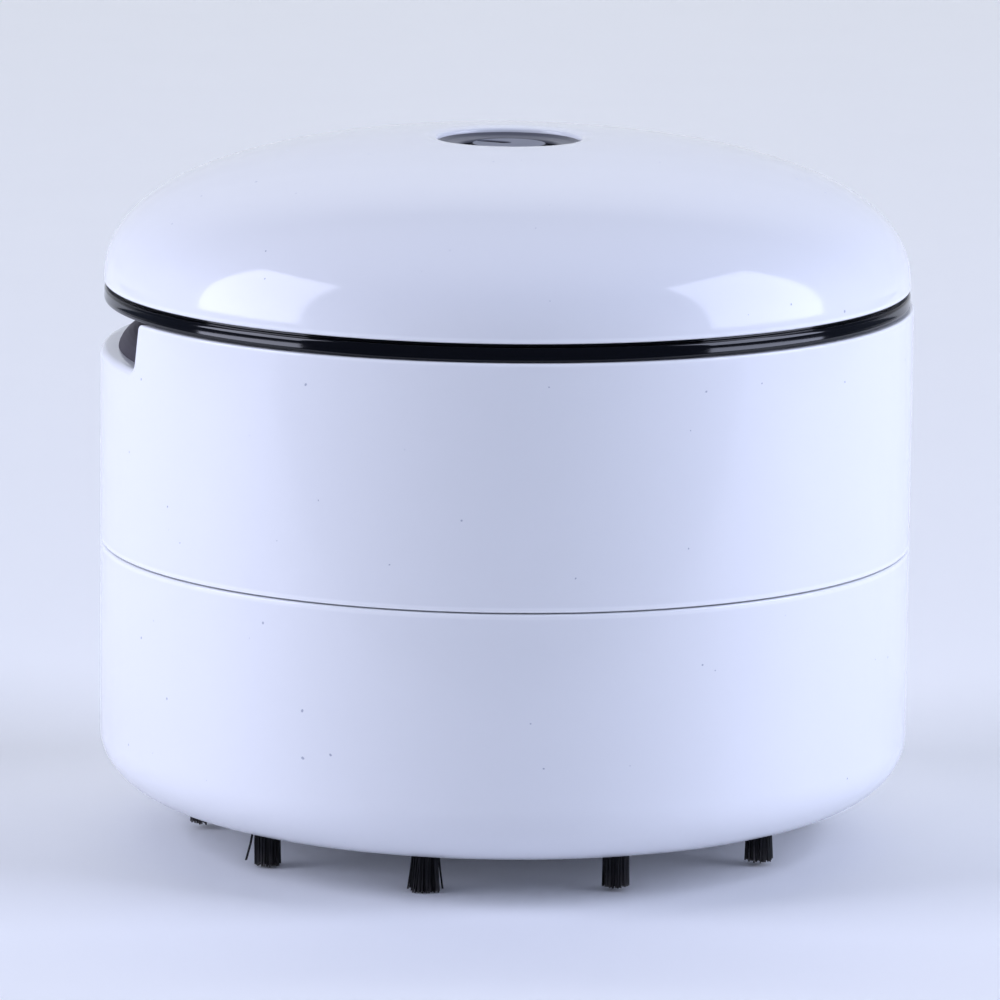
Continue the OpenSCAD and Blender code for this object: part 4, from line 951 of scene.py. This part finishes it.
# A conical coil stands on the end wall of each trough and narrows toward the cell
SPRING_TURNS, SPRING_WIRE, SPRING_X, SPRING_L = 2.75, 0.5, -26.5, 2.6
SPRING_FOOT_R, SPRING_TIP_R = 3.6, 2.2
t = np.linspace(0, 1, 90)
coil_r = SPRING_FOOT_R + (SPRING_TIP_R - SPRING_FOOT_R) * t
coil = np.column_stack([
    SPRING_X + SPRING_WIRE / 2 + t * (SPRING_L - SPRING_WIRE),
    coil_r * np.cos(2 * np.pi * SPRING_TURNS * t), coil_r * np.sin(2 * np.pi * SPRING_TURNS * t)])
for name, turn in (("spring_front", 0), ("spring_rear", 180)):
    wire = turned(sweep(coil + (0, -CELL_Y, CELL_Z), SPRING_WIRE / 2, 12, (1, 0, 0)), turn)
    make_piece(name + "_coil", [(wire, False)], "housing", "contact_nickel", [name], sharp=60)

# Leads, through the points of the CAD source's routes
LEAD_R = 0.5
ON_DECK, ON_TAIL, ON_BOARD, ON_TERMINAL = 54.05, 54.45, 57.1, 53.7
LEADS = {
    "positive_lead": ("red_insulation", [
        (-28.1, 18.7, ON_TAIL), (-28.1, 16.7, ON_TAIL), (-26.6, 11.5, ON_DECK), (-21, 8, ON_DECK),
        (-16.8, 5.6, ON_DECK + 0.8), (-15, 4.6, 55.4), (-13.8, 4.2, ON_BOARD),
        (-11.4, 3.6, ON_BOARD)]),
    "negative_lead": ("black_insulation", [
        (-28.1, -18.7, ON_TAIL), (-28.1, -16.7, ON_TAIL), (-26.6, -11.5, ON_DECK),
        (-19, -6.6, ON_DECK), (-13, -4.4, ON_DECK), (-9, -3.4, ON_DECK),
        (-5.8, -0.4, ON_TERMINAL)]),
    "motor_lead": ("blue_insulation", [
        (11.4, -3.6, ON_BOARD), (13.6, -4.1, ON_BOARD), (15.2, -4.4, 55.7),
        (14.6, -4.4, ON_DECK + 0.2), (12, -4.2, ON_DECK), (9, -3.4, ON_DECK),
        (5.8, -0.4, ON_TERMINAL)]),
}
for name, (slot, points) in LEADS.items():
    wire = sweep(smooth_line(points, 8), LEAD_R, 12, (0, 0, 1))
    make_piece(name + "_wire", [(wire, False)], "housing", slot, [name], sharp=60)


# ---- Floor and backdrop ----

FLOOR_FRONT, FLOOR_HALF_W, FLOOR_DROP = -1800, 2600, 0.02
WALL_Y, WALL_ROUND, WALL_TOP = 1600, 700, 2600
NEAR_FRONT, NEAR_SIDE, NEAR_BACK = -150, 360, 500


def sweep_floor():
    """Floor that curves up into a wall: flat to y = WALL_Y, then through a quarter circle."""
    a = np.linspace(0, np.pi / 2, 24)
    side = np.vstack([
        [[FLOOR_FRONT, 0], [FLOOR_FRONT / 2, 0], [NEAR_FRONT, 0], [NEAR_BACK, 0], [WALL_Y, 0]],
        np.column_stack([WALL_Y + WALL_ROUND * np.sin(a), WALL_ROUND * (1 - np.cos(a))])[1:],
        [[WALL_Y + WALL_ROUND, WALL_TOP]]])
    across = np.linspace(NEAR_SIDE, FLOOR_HALF_W, 9)
    across = np.concatenate([-across[::-1], across])
    grid = np.stack(np.broadcast_arrays(across[None], side[:, :1], side[:, 1:]), axis=-1)
    return grid - (0, 0, FLOOR_DROP)


paper_finish = Finish("floor_paper", Specular_IOR_Level=0.2)
paper_look = paper_finish.group(MOULDING, Colour=rgb(*PALE_WHITE), Tone=0.008, Roughness=0.55,
                                Spread=0.04, Grain_size=700.0)
paper_finish.feed(Base_Color=paper_look["Colour"], Roughness=paper_look["Roughness"])
floor_grid = sweep_floor()
floor_points = floor_grid.reshape(-1, 3)
floor_faces = grid_faces(*floor_grid.shape[:2], False, False)
middle = floor_points[floor_faces].mean(axis=1)
beyond = (middle[:, 1] < NEAR_FRONT) | (
    (np.abs(middle[:, 0]) > NEAR_SIDE) & (middle[:, 1] < NEAR_BACK))
for name, faces in (("studio_floor", floor_faces[~beyond]), ("studio_apron", floor_faces[beyond])):
    used, faces = np.unique(faces, return_inverse=True)
    mesh = bpy.data.meshes.new(name)
    mesh.from_pydata((floor_points[used] * MM).tolist(), [], faces.reshape(-1, 4).tolist())
    mesh.polygons.foreach_set("use_smooth", np.ones(len(mesh.polygons), bool))
    mesh.materials.append(paper_finish.material)
    paper = bpy.data.objects.new(name, mesh)
    bpy.context.scene.collection.objects.link(paper)
    # The apron in front and at the sides stays out of the gloss, as past a small table's edge
    paper.visible_glossy = name == "studio_floor"


# ---- Light: a tall panel at each side, a faint one overhead, and one that washes the wall ----

def area_light(name, place, target, size, watts, colour, in_gloss):
    """Rectangular light at place, facing target, all in metres."""
    lamp = bpy.data.lights.new(name, "AREA")
    lamp.shape = "RECTANGLE"
    lamp.size, lamp.size_y = size
    lamp.energy, lamp.color = watts, colour
    panel = bpy.data.objects.new(name, lamp)
    bpy.context.scene.collection.objects.link(panel)
    panel.visible_glossy = in_gloss
    turn = (Vector(target) - Vector(place)).to_track_quat("-Z", "Y")
    panel.matrix_world = Matrix.Translation(place) @ turn.to_matrix().to_4x4()


PANEL_DISTANCE = 1.0
PANELS = {
    # name: (degrees from the front, width, height from the floor, watts, colour)
    "panel_left": (-77, 0.66, 1.05, 13.8, (0.77, 0.80, 1.00)),
    "panel_right": (78, 0.74, 1.2, 15.9, (0.72, 0.77, 1.00)),
}
for name, (azimuth, width, height, watts, colour) in PANELS.items():
    a = math.radians(azimuth)
    area_light(name, (PANEL_DISTANCE * math.sin(a), -PANEL_DISTANCE * math.cos(a), height / 2),
               (0, 0, height / 2), (width, height), watts, colour, True)
area_light("overhead", (0, 0.1, 1.6), (0, 0, 0), (2.2, 1.2), 0.5, (1.00, 1.00, 1.00), False)
area_light("wall_wash", (0, 0.9, 1.9), (0, 2.2, 0.5), (2.4, 0.5), 24.9, (0.98, 0.98, 0.95), False)

world = bpy.data.worlds.new("studio")
bpy.context.scene.world = world
world.use_nodes = True
sky = world.node_tree.nodes["Background"]
sky.inputs["Color"].default_value = rgb(0.55, 0.70, 1.0)
sky.inputs["Strength"].default_value = 0.122
bpy.context.scene.view_settings.view_transform = "Standard"
